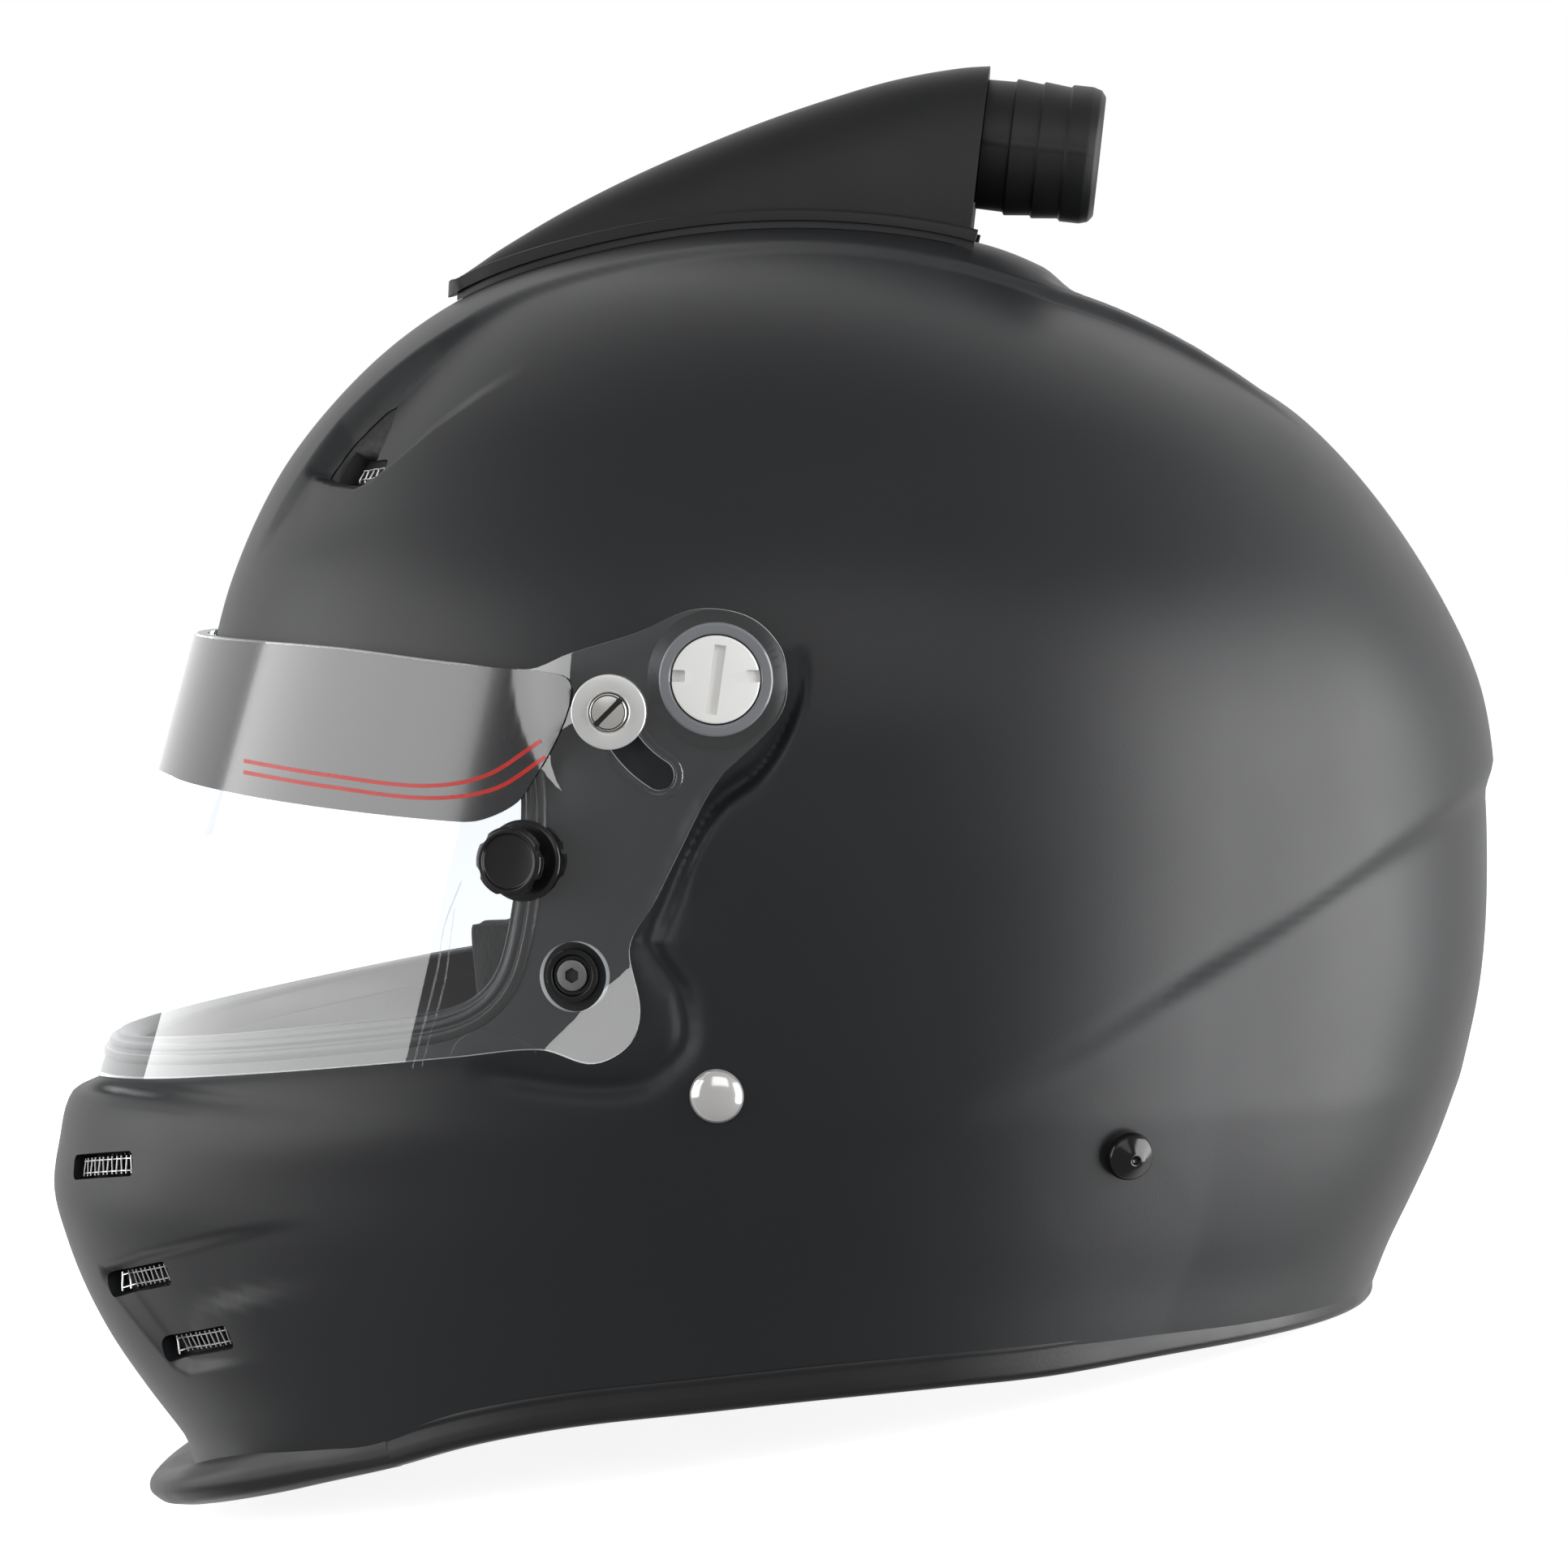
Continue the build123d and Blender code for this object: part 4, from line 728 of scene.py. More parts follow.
def form_mesh(grow, columns, rows):
    """The closed form as a mesh; its last row is drawn together under the helmet."""
    def place(u, v):
        angle = np.minimum(v * rows / (rows - 1), 1) * lowest_angle
        z = crown_height * np.where(angle < math.pi / 2, np.cos(angle), math.pi / 2 - angle)
        points = on_form(2 * math.pi * u, z, grow)
        points[v > 1 - 0.5 / rows] = (0, 10, z.min())
        points[v < 0.5 / rows] = (0, 0.03 * half_length, crown_height + grow)
        return points
    return mapped(columns, rows, place)


outside = form_mesh(0, 320, 190)
middles = np.array([(edge.verts[0].co + edge.verts[1].co)[:] for edge in outside.edges]) / 2
mx, my, mz = middles.T
near_recess = (np.abs(measure(recess_edge, my, mz, closed=True)) < 5) & (my < 12)
near_brow = (np.abs(measure(brow_line, my, mz)[0]) < 5) & (np.abs(mx) > 30)
near_spine = (np.abs(np.abs(mx) - np.interp(my, spine_y, spine_x)) < 5) & (mz > 60)
near_spine &= (my < -70) | (my > 40)
near_beak = (np.abs(measure(beak_line, my, mz)[0]) < 5) & (my < -100)
busy = near_recess | near_brow | near_spine | near_beak
bmesh.ops.subdivide_edges(outside, edges=[edge for edge, flag in zip(outside.edges, busy) if flag], cuts=2,
                          use_grid_fill=True)
outside.normal_update()
normals = np.array([vert.normal[:] for vert in outside.verts])
base = np.array([vert.co[:] for vert in outside.verts])
shaped = recessed(base + normals * feature_depth(*base.T)[:, None])
for vert, point in zip(outside.verts, shaped):
    vert.co = point
bmesh.ops.triangulate(outside, faces=[face for face in outside.faces if len(face.verts) > 4])
print("shell outside", len(outside.faces), "faces")

# %% The shell's inside and its cuts
trim_lap, lip_hem_rise = 2.0, 6.0
eyeport_outline = from_pivot([
    (-1.250, -0.625), (-0.905, -0.598), (-0.490, -0.540), (-0.385, -0.520), (-0.325, -0.490),
    (-0.285, -0.440), (-0.265, -0.370), (-0.252, -0.280), (-0.245, -0.180), (-0.255, -0.110),
    (-0.285, -0.062), (-0.345, -0.040), (-0.600, -0.020), (-1.250, -0.010)])
eyeport_edge = curve_through(eyeport_outline, 220)
chin_vents = [(-154.4, -84.3, 30.0, 5.8, 7.4), (-146.8, -110.7, 26.0, 5.8, 11.7),
              (-131.5, -123.8, 28.0, 5.8, 13.8)]
brow_vent = (-95.5, 77.0, 15.0, 5.0, 4.0)
vents = chin_vents + [brow_vent]

edge_points = [(y, z + trim_lap) for y, z in rim_line] + [(y, z + lip_hem_rise) for y, z in lip_line[1:]]
edge_curve = [tuple(point) for point in curve_through(edge_points, 120)]
past, under = 200.0, -260.0
below_edge = [(past, edge_curve[0][1]), *edge_curve, (-past, edge_curve[-1][1])]
below_edge += [(-past, under), (past, under)]
shell = combined(outside, form_mesh(-wall, 140, 90))
shell = combined(shell, prism(below_edge))
shell = combined(shell, prism([tuple(point) for point in eyeport_edge]))
for y, z, width, height, turn in vents:
    hole = set_at(block(width, height, -14, 12, corner=1.7), seat(form_x, y, z, turn=turn))
    shell = combined(shell, both_sides(hole))
under_duct = Matrix.Translation((0, 16, 0))
shell = combined(shell, set_at(block(18, 36, 100, 160, corner=8.9), under_duct))
made(shell, "shell_moulded", shell_black, nodes=["outer_shell"], sharp=38)

# %% [markdown]
# The vents are closed by woven wire. Each wire is a thin tube that weaves over
# and under its neighbours; six sides are enough at this size.

# %% Woven wire in the vents
wire_radius, wire_weave, wire_pitch = 0.20, 0.07, 2.1
wire_gap, wire_bulge = 1.1, 4.5


def wire(start, end, first_over):
    """One wavy wire of the cloth."""
    start, end = Vector(start), Vector(end)
    crossings = max(2, int((end - start).length / wire_pitch))
    count = crossings * 4 + 1
    path = [start.lerp(end, i / (count - 1)) for i in range(count)]
    rise = [wire_weave * first_over * math.cos(math.pi * i / 4) for i in range(count)]
    path = [(point.x, point.y, point.z + lift) for point, lift in zip(path, rise)]
    return swept(path, [(0, 0, 1)] * count, round_section(wire_radius, 6))


def wire_cloth(width, height):
    wide, high = width / 2 + 1.4, height / 2 + 1.2
    columns, rows = int(2 * wide / wire_pitch), int(2 * high / wire_pitch)
    wires = []
    for i, x in enumerate(np.linspace(-wide, wide, columns + 1)):
        wires.append(wire((x, -high, 0), (x, high, 0), 1 if i % 2 else -1))
    for j, y in enumerate(np.linspace(-high, high, rows + 1)):
        wires.append(wire((-wide, y, 0), (wide, y, 0), -1 if j % 2 else 1))
    return joined(*wires)


def pressed(cloth, place, width, height):
    """The cloth laid under the shell's curve and bulged into its opening."""
    flat = np.array([vert.co[:] for vert in cloth.verts])
    axes = np.array(place)
    at = flat[:, :2] @ axes[:3, :2].T + axes[:3, 3]
    sag = (form_x(at[:, 1], at[:, 2]) - at[:, 0]) * axes[0, 2] + feature_depth(*at.T)
    within = soft_step((width / 2 - np.abs(flat[:, 0])) / 3.0)
    within *= soft_step((height / 2 - np.abs(flat[:, 1])) / 0.8)
    for vert, lower, share in zip(cloth.verts, sag, within):
        vert.co.z += lower - wall - wire_gap + wire_bulge * share
    return set_at(cloth, place)


for name, places in (("chin_vent_cloth", chin_vents), ("brow_vent_cloth", [brow_vent])):
    cloths = []
    for y, z, width, height, turn in places:
        cloth = pressed(wire_cloth(width, height), seat(form_x, y, z, turn=turn), width, height)
        cloths.append(both_sides(cloth))
    made(joined(*cloths), name, wire_steel, nodes=[name.replace("cloth", "meshes")])

# %% [markdown]
# A ribbed rubber gasket lines the eyeport. It is one extruded profile, bent round
# the opening, so it is swept: the path follows the opening's edge on the shell,
# and the profile has three rounded ribs.

# %% Eyeport gasket


def shell_surface(y, z, grow=0.0):
    """Half width of the shell's outside, with the hollow round the screen."""
    return np.minimum(form_x(y, z, grow), screen_x(y, z, grow - visor_thickness - visor_gap))


def port_front(z):
    """Foremost place of the shell behind the screen."""
    return np.maximum(section(z)[0], screen_front(z, -visor_thickness - visor_gap))


def port_path():
    """The opening's edge as a closed loop round the front of the helmet."""
    y, z = eyeport_edge.T
    share = (visor_widest_y - y) / (visor_widest_y - port_front(z))
    kept = share < 0.999
    turn, level = np.arccos(share[kept]), z[kept]
    turn = np.concatenate([[0], turn, [0]])
    level = np.concatenate([[level[0]], level, [level[-1]]])
    loop = np.stack([np.concatenate([turn, -turn[::-1][1:]]), np.concatenate([level, level[::-1][1:]])], -1)
    return loop


def port_surface(turn, z):
    y = visor_widest_y - (visor_widest_y - port_front(z)) * np.cos(turn)
    x = shell_surface(y, z)
    x = np.where(np.abs(turn) < 1e-3, 0, x)
    return np.stack([np.copysign(x, turn), y, z], -1)


def surface_normal(turn, z):
    step = 0.01
    ahead = port_surface(turn + step, z) - port_surface(turn - step, z)
    rise = port_surface(turn, z + 1) - port_surface(turn, z - 1)
    normal = np.cross(rise, ahead)
    outwards = np.stack([np.sin(turn), -np.cos(turn), 0 * turn], -1)
    return normal * np.sign((normal * outwards).sum(-1))[:, None]


loop = port_path()
points = port_surface(*loop.T)
steps = np.concatenate([[0], np.cumsum(np.linalg.norm(np.diff(points, axis=0), axis=1))])
even = np.linspace(0, steps[-1], 420)
turns, levels = (np.interp(even, steps, loop[:, k]) for k in (0, 1))
path = port_surface(turns, levels)
outward = surface_normal(turns, levels)
for _ in range(6):
    path[1:-1] = (path[:-2] + 2 * path[1:-1] + path[2:]) / 4
    outward[1:-1] = (outward[:-2] + 2 * outward[1:-1] + outward[2:]) / 4
path[-1], outward[-1] = path[0], outward[0]
ribs = softened([
    (-0.2, 0.15), (0.6, 1.0), (1.9, 1.15), (2.3, 0.25), (3.0, 0.2), (3.4, 0.75), (4.6, 0.6), (5.0, -0.5),
    (5.6, -0.7), (6.3, -0.6), (6.9, -2.2), (6.9, -5.2), (6.1, -6.6), (0.2, -6.4), (-0.2, -5.1)],
    0.45, 3, closed=True)
made(swept(path, outward, ribs), "gasket_ribbed", gasket_black, "helmet", ["eyeport_gasket"])

# %% [markdown]
# The lower edge of the shell is bound with a rubber channel. At the chin it
# meets a thicker moulded lip that flares forward like a small spoiler.

# %% Edge trim
joint_y = rim_line[-1][0]
edge_drop = 1.7
edge_y = np.array([point[0] for point in reversed(rim_line + lip_line[1:])])
edge_z = np.array([point[1] for point in reversed(rim_line + lip_line[1:])])
order = np.argsort(edge_y)
edge_y, edge_z = edge_y[order], edge_z[order]


def edge_path(turns):
    """Points of the shell's lower edge, by bearing round the helmet."""
    z = np.full(turns.shape, -125.0)
    for _ in range(30):
        point = on_form(turns, z)
        z = 0.5 * z + 0.5 * smooth(edge_y, edge_z, np.clip(point[:, 1], edge_y[0], edge_y[-1]))
    points = on_form(turns, z)
    y = points[:, 1]
    points[:, 2] -= edge_drop * soft_step((y + 105) / 25) * (1 - soft_step((y - 50) / 60))
    return points


def level_outwards(turns):
    """Level directions that point straight out of the form."""
    return np.stack([np.sin(turns) / half_width, -np.cos(turns) / half_length, 0 * turns], -1)


def rested(bm):
    """Points under the table's level are set on it, which leaves the flats on which the helmet stands."""
    for vert in bm.verts:
        table = (vert.co.y * math.sin(-rest_tilt) - rest_height / millimetre) / math.cos(rest_tilt)
        vert.co.z = max(vert.co.z, table)
    return bm


sample = np.linspace(0, math.pi, 2001)
sample_path = edge_path(sample)
joint_turn = float(np.interp(joint_y, sample_path[:, 1], sample))
around = np.linspace(joint_turn, 2 * math.pi - joint_turn, 460)
rim_path = edge_path(around)
rim_out = level_outwards(around)
trim_profile = softened([
    (8.0, 0.12), (7.9, 1.35), (7.1, 1.5), (6.3, 1.2), (3.6, 1.45), (1.4, 1.35), (0.1, 0.3), (-0.2, -1.6),
    (-0.2, -3.8), (0.3, -5.4), (2.0, -6.3), (7.6, -6.3), (8.0, -5.2), (2.1, -5.1), (1.9, -0.1)],
    0.6, 3, closed=True)
trim = rested(swept(rim_path, rim_out, trim_profile))
made(trim, "trim_rubber", rubber_black, "helmet", ["edge_trim"])

# %% Chin lip
lip_front = np.array(softened([
    (7.2, 4.8), (8.2, 6.4), (7.9, 9.5), (6.6, 14.6), (4.6, 18.4), (1.8, 18.6), (-0.6, 15.4), (-1.0, 10.0),
    (-0.6, 3.0), (1.0, -3.0), (4.0, -5.8), (8.0, -6.0), (8.5, -5.2), (6.3, -4.0), (5.8, 2.0), (6.2, 4.0)],
    1.2, 3, closed=True))
lip_joint = np.array(softened([
    (8.6, 0.10), (8.4, 0.7), (8.0, 0.95), (6.6, 1.25), (4.6, 1.4), (2.6, 1.4), (0.9, 1.0), (-0.2, -0.4),
    (-0.3, -2.4), (0.2, -5.0), (2.0, -6.2), (7.0, -6.3), (8.0, -5.2), (2.4, -5.1), (2.2, -2.5), (2.0, -0.1)],
    0.5, 3, closed=True))
corner_reach, corner_rise = 3.0, 0.38
lip_turns = np.linspace(-joint_turn, joint_turn, 240)
lip_path = edge_path(lip_turns)
lip_out = level_outwards(lip_turns)
lip_path += lip_out / np.linalg.norm(lip_out, axis=1)[:, None] * corner_reach * chin_corner(lip_path[:, :1])
full = soft_step(1.12 - np.abs(lip_turns) / joint_turn * 1.12)
rise = soft_step((joint_turn - np.abs(lip_turns)) / 0.35)
profiles = lip_joint[None] + (lip_front - lip_joint)[None] * full[:, None, None]
profiles[:, :, 0] *= (1 + corner_rise * rise * (1 - full))[:, None]
lip = rested(swept(lip_path, lip_out, profiles))
made(lip, "lip_moulded", rubber_black, "helmet", ["chin_lip"])

# %% [markdown]
# The screen is cut from a bent sheet, as the real one is cut after moulding. The
# sheet is mapped onto the screen's form, thickened, trimmed to its outline and
# drilled. A tab at its rear lower corner is bent outwards for the thumb.

# %% Screen
visor_outline = from_pivot([
    (-0.880, 0.041), (-0.580, 0.036), (-0.378, 0.018), (-0.270, 0.011), (-0.211, 0.034),
    (-0.118, 0.063), (-0.030, 0.098), (0.045, 0.088), (0.090, 0.045), (0.0995, -0.010), (0.092, -0.046),
    (0.068, -0.078), (0.036, -0.108), (0.007, -0.136), (-0.016, -0.170), (-0.051, -0.240),
    (-0.090, -0.318), (-0.119, -0.364), (-0.124, -0.391), (-0.107, -0.468), (-0.122, -0.514),
    (-0.175, -0.542), (-0.251, -0.527), (-0.375, -0.542), (-0.695, -0.585), (-0.901, -0.613),
    (-1.080, -0.630)])
visor_edge = [tuple(point) for point in curve_through(visor_outline, 260)]
tab_from, tab_to, tab_slope = Vector((-47.8, -50.8)), Vector((-29.1, -30.9)), 0.22


def tab_lift(y, z):
    """How far the thumb tab is bent out, beyond a slanting line."""
    ahead = (tab_to - tab_from).normalized()
    beyond = (y - tab_from.x) * ahead.y - (z - tab_from.y) * ahead.x
    return tab_slope * (beyond + np.sqrt(beyond ** 2 + 2.0)) * soft_step((y + 62) / 14)


def screen_sheet(grow, thickness, columns=260, rows=90, low=-72.0, high=50.0):
    """A closed curved sheet whose outer face stands this far out from the screen's."""
    def place(u, v):
        turn = (u - 0.5) * math.radians(176)
        z = low + (high - low) * v
        outer = on_screen(turn, z, grow)
        outer[:, 0] += np.copysign(tab_lift(outer[:, 1], z), outer[:, 0]) * (np.abs(outer[:, 0]) > 60)
        return outer
    bm = mapped(columns, rows, place)
    middle = min(bm.faces, key=lambda face: (face.calc_center_median() - Vector((0, -150, 0))).length)
    if middle.normal.y > 0:
        bmesh.ops.reverse_faces(bm, faces=bm.faces)
    bmesh.ops.solidify(bm, geom=bm.faces[:], thickness=thickness)
    bmesh.ops.recalc_face_normals(bm, faces=bm.faces)
    return bm


def arc_outline(radius, width, start, end, steps=14):
    """A curved slot about the pivot, angles below the forward horizontal."""
    def at(r, degrees):
        angle = math.radians(degrees)
        return (pivot_y - r * math.cos(angle), pivot_z - r * math.sin(angle))
    points = []
    for half, first, last in ((width / 2, start, end), (-width / 2, end, start)):
        points += [at(radius + half, first + (last - first) * k / steps) for k in range(steps + 1)]
        y, z = at(radius, last)
        for k in range(1, steps):
            turn = math.radians(last) + math.pi * k / steps
            points.append((y - half * math.cos(turn), z - half * math.sin(turn)))
    return points


slot_edge = arc_outline(slot_radius, slot_width, slot_start, slot_end)
latch_y, latch_z, latch_hole_radius = -40.5, -34.5, 7.6
tearoff_y, tearoff_z, tearoff_hole_radius = -51.5, -9.6, 3.5
ring_bore, ring_radius = 9.8, 12.3


def drill(radius, place, low=-12.0, high=12.0, steps=72):
    return set_at(spun([(0, low), (radius, low), (radius, high), (0, high)], radius=0, steps=steps), place)


screen = combined(screen_sheet(0, visor_thickness), prism(visor_edge + [visor_outline[-1]]), "INTERSECT")
ring_seat = sideways(pivot_y, pivot_z, float(screen_x(pivot_y, pivot_z)))
tearoff_seat = seat(screen_x, tearoff_y, tearoff_z)
rims = spun([(ring_bore, -1.2), (ring_bore, 0.55), (10.2, 0.8), (11.9, 0.8), (ring_radius, 0.5),
             (ring_radius, -1.2), (ring_bore, -1.2)], radius=0.15, steps=96)
screen = combined(screen, both_sides(set_at(rims, ring_seat)), "UNION")
screen = combined(screen, both_sides(drill(ring_bore, ring_seat)))
screen = combined(screen, both_sides(prism(slot_edge, 60, 160)))
screen = combined(screen, both_sides(drill(latch_hole_radius, seat(screen_x, latch_y, latch_z))))
screen = combined(screen, both_sides(drill(tearoff_hole_radius, tearoff_seat, -6, 8)))
screen.normal_update()
# Near the pivot the ring's faces take the grey ring finish and the rest stay clear; elsewhere faces that do
# not face outwards, the cut edges, take the pale grey painted edge light.
for face in screen.faces:
    x, y, z = face.calc_center_median()
    outwards = Vector((x / visor_half_width ** 2, (y - visor_widest_y) / 152 ** 2, 0)).normalized()
    radius = max(math.hypot(vert.co.y - pivot_y, vert.co.z - pivot_z) for vert in face.verts)
    if radius < 14:
        face.material_index = 2 if radius < ring_radius + 0.1 else 0
    else:
        face.material_index = int(abs(face.normal.dot(outwards)) < 0.45)
made(screen, "screen_clear", screen_clear, "visor_frame", ["visor"], sharp=30,
     others=[painted_edge_light, ring_grey])

# %% [markdown]
# Thin raised lines show on the clear plastic: a rim round the slot, two upright
# moulding lines and a half-round mark behind the lower edge. Each is a fine bead
# swept along the surface.

# %% Moulded lines on the screen


def bead(line, radius, count=60, closed=False, lift=0.0, squash=0.6):
    """A fine rounded bead that follows a side-view line on the left of the screen."""
    at = curve_through(line, count, closed)
    y, z = at.T
    path = np.stack([screen_x(y, z, lift) + tab_lift(y, z), y, z], -1)
    step = 0.01
    lean = (screen_x(y + step, z) - screen_x(y - step, z)) / (2 * step)
    rise = (screen_x(y, z + step) - screen_x(y, z - step)) / (2 * step)
    outward = np.stack([1 + 0 * y, -lean, -rise], -1)
    return swept(path, outward, round_section(radius, 8, squash))


rim_of_slot = arc_outline(slot_radius, slot_width + 2.5, slot_start, slot_end)
beads = [
    bead(rim_of_slot, 0.75, 120, closed=True),
    bead([(-65.5, -14.5), (-69.2, -24.0), (-71.0, -34.5), (-76.5, -55.5)], 0.20),
    bead([(-67.0, -20.5), (-68.0, -28.0), (-69.2, -36.5), (-74.4, -55.3)], 0.16),
    bead([(-67.8, -52.4), (-66.0, -49.2), (-61.5, -46.8), (-54.5, -47.6), (-50.2, -49.5), (-48.6, -51.2)],
         0.18)]
made(both_sides(joined(*beads)), "screen_lines", line_clear, "visor_frame")

# %% [markdown]
# A smoked film is stuck across the top of the screen against the sun. It is one
# thin sheet, cut round the pivots. Two plain red pinstripes run along its lower
# edge.

# %% Smoked film and pinstripes
strip_outline = from_pivot([
    (-1.080, 0.043), (-1.080, -0.167), (-0.865, -0.167), (-0.823, -0.173), (-0.616, -0.192),
    (-0.378, -0.207), (-0.336, -0.203), (-0.286, -0.178), (-0.263, -0.146), (-0.223, -0.077),
    (-0.204, -0.020), (-0.211, 0.001), (-0.250, 0.010), (-0.378, 0.016), (-0.580, 0.034), (-0.860, 0.039)])
lower_run = [tuple(point) for point in curve_through(strip_outline[1:13], 110)]
upper_run = [tuple(point) for point in curve_through(strip_outline[12:], 50)]
film_edge = [strip_outline[0]] + lower_run + upper_run[1:]
film_face, film_thickness, film_clearance = 0.41, 0.35, 0.3
film = screen_sheet(film_face, film_thickness, columns=240, rows=60, low=-12.0, high=46.0)
film = combined(film, prism(film_edge), "INTERSECT")
film = combined(film, both_sides(drill(ring_radius + film_clearance, ring_seat)))
made(film, "film_sheet", film_smoked, "visor_frame", ["tint_strip"], sharp=30)


def stripe(line, width, lift):
    """A thin flat stripe on the film."""
    at = curve_through(line, 90)
    y, z = at.T
    path = np.stack([screen_x(y, z, lift), y, z], -1)
    step = 0.01
    lean = (screen_x(y + step, z) - screen_x(y - step, z)) / (2 * step)
    outward = np.stack([1 + 0 * y, -lean, 0 * y], -1)
    half, thick = width / 2, 0.04
    return swept(path, outward, [(-half, -thick), (half, -thick), (half, thick), (-half, thick)])


upper_stripe = [(-118.0, 9.5), (-96.0, 7.4), (-74.0, 6.0), (-60.0, 8.6), (-47.5, 16.5)]
lower_stripe = [(-118.0, 7.0), (-96.0, 4.9), (-73.0, 3.4), (-58.0, 5.8), (-46.5, 13.0)]
stripes = both_sides(joined(*[stripe(line, 0.9, film_face + 0.04) for line in (upper_stripe, lower_stripe)]))
made(stripes, "film_pinstripes", stripe_red, "visor_frame")

# %% [markdown]
# Each pivot is a white plastic disc with a coin slot, set in the screen's ring.
# It is turned with rounded edges, then the slot and two notches are milled.

# %% Pivot discs
hub_x = visor_half_width - ear_drop - visor_thickness - visor_gap
disc_radius, disc_thickness = 9.5, 2.2
disc_top = visor_thickness + visor_gap + 1.2
disc_base = disc_top - disc_thickness
hub_seat = sideways(pivot_y, pivot_z, hub_x)


def pivot_disc():
    disc = spun([(0, disc_base), (disc_radius, disc_base), (disc_radius, disc_top), (0, disc_top)],
                radius=0.45, steps=96)
    slot = block(15.0, 2.5, disc_top - 1.4, disc_top + 3, corner=0.2)
    disc = combined(disc, set_at(slot, turned(82)))
    for end in (-1, 1):
        notch = block(3.6, 2.6, disc_top - 1.7, disc_top + 3, corner=0.3)
        disc = combined(disc, set_at(notch, Matrix.Translation((end * 8.4, 0.8, 0))))
    return disc


for side in ("left", "right"):
    disc, node = sided(set_at(pivot_disc(), hub_seat), side), "pivot_disc_" + side
    made(disc, "coin_disc_" + side, disc_white, node, [node], sharp=40)

# %% [markdown]
# A slotted screw and a wide washer travel in the arc slot and set how stiffly
# the screen turns. The latch post below it is the button over which the screen's
# rear hole drops.

# %% Washers, screws and latch posts
washer_x = float(screen_x(pivot_y - slot_radius + 8.1, pivot_z)) + 0.3


def slot_washer():
    return spun([(4.15, 0), (8.1, 0), (8.1, 1.4), (4.6, 1.4), (4.15, 0.9), (4.15, 0)], radius=0.35, steps=96)


def shaded(bm, low, high, radius):
    """Faces inside a slot or socket take the second finish, a dark colour painted in as the shade inside
    them.
    """
    for face in bm.faces:
        x, y, z = face.calc_center_median()
        face.material_index = int(low < z < high and math.hypot(x, y) < radius)
    return bm


def screw_shank(low, high):
    return spun([(0, low), (2.0, low), (2.0, high), (0, high)], 0.3, 32)


def slot_screw():
    head = spun([(0, 0), (4.0, 0), (4.0, 2.2), (0, 2.45)], radius=0.5, steps=64)
    cut = set_at(block(12, 1.1, 1.25, 4), turned(45))
    head = shaded(combined(head, cut), 1.2, 2.25, 3.8)
    return joined(set_at(head, Matrix.Translation((0, 0, 0.7))), screw_shank(-12, 0.8))


latch_seat = seat(screen_x, latch_y, latch_z, -visor_thickness - visor_gap)


def latch_post():
    return spun([(2.1, 0.15), (5.85, 0.15), (5.85, 1.9), (4.6, 1.9), (4.3, 1.0), (2.1, 1.0), (2.1, 0.15)],
                radius=0.22, steps=64)


def latch_screw():
    head = spun([(0, 0), (3.4, 0), (3.4, 0.9), (0, 0.95)], radius=0.25, steps=48)
    socket = bmesh.new()
    bmesh.ops.create_cone(socket, cap_ends=True, segments=6, radius1=1.7, radius2=1.7, depth=4,
                          matrix=Matrix.Translation((0, 0, 2.3)))
    head = shaded(combined(head, socket), 0.2, 0.8, 1.75)
    return joined(set_at(head, Matrix.Translation((0, 0, 1.0))), screw_shank(-2.2, 1.1))


hardware = (
    ("slot_washer", slot_washer, sideways(washer_y, washer_z, washer_x), washer_metal, "washer_alloy"),
    ("slot_screw", slot_screw, sideways(washer_y, washer_z, washer_x), steel_bright, "bright_steel"),
    ("latch_post", latch_post, latch_seat, hardware_black, "black_plastic"),
    ("latch_screw", latch_screw, latch_seat, steel_dark, "dark_steel"))
for node, make, place, material, slot in hardware:
    for side in ("left", "right"):
        made(sided(set_at(make(), place), side), f"{node}_turned_{side}", material, "helmet",
             [f"{node}_{side}"], sharp=40, others=[painted_slot_shade] if "screw" in node else [])

# %% [markdown]
# Tear-off posts hold the disposable films that a driver pulls away. The cap has
# finger scallops and a sunk face, and turns; its flange stays on the screen.

# %% Tear-off posts


def tearoff_base():
    return spun([(1.8, -3.9), (3.4, -3.9), (3.4, 0.1), (8.9, 0.1), (8.9, 0.7), (8.2, 1.2), (1.8, 1.2),
                 (1.8, -3.9)], radius=0.2, steps=72)


def tearoff_cap():
    body = spun([(0, -3.6), (1.7, -3.6), (1.7, 1.5), (4.4, 1.5), (4.4, 5.4), (5.4, 6.0), (7.6, 6.1),
                 (7.6, 8.3), (6.9, 8.7), (6.2, 8.7), (5.8, 7.9), (0, 7.9)], radius=0.25, steps=96)
    out = 8.95
    for k in range(6):
        turn = math.radians(60 * k + 20)
        centre = Matrix.Translation((out * math.cos(turn), out * math.sin(turn), 0))
        body = combined(body, drill(2.1, centre, 4.8, 9.5, steps=32))
    return body


for side in ("left", "right"):
    for make, name, node, body in (
            (tearoff_base, "tearoff_flange_", "tearoff_base_" + side, "visor_frame"),
            (tearoff_cap, "tearoff_cap_", "tearoff_post_" + side, "tearoff_post_" + side)):
        bm = sided(set_at(make(), tearoff_seat), side)
        made(bm, name + side, hardware_black, body, [node], sharp=40)

# %% [markdown]
# A domed rivet holds each end of the chin strap, and a round plug closes the
# thread for a neck-restraint tether.

# %% Rivets and plugs
rivet_seat, anchor_seat = seat(form_x, -9.3, -60.1), seat(form_x, 79.6, -74.1)


def strap_rivet():
    dome = [(5.95 * math.cos(a), 0.25 + 2.9 * math.sin(a)) for a in np.linspace(0, math.pi / 2, 14)]
    return spun([(0, -8.4), (2.4, -8.4), (2.4, 0.2), (5.7, 0.2)] + dome[:-1] + [(0, dome[-1][1])],
                radius=0, steps=72)


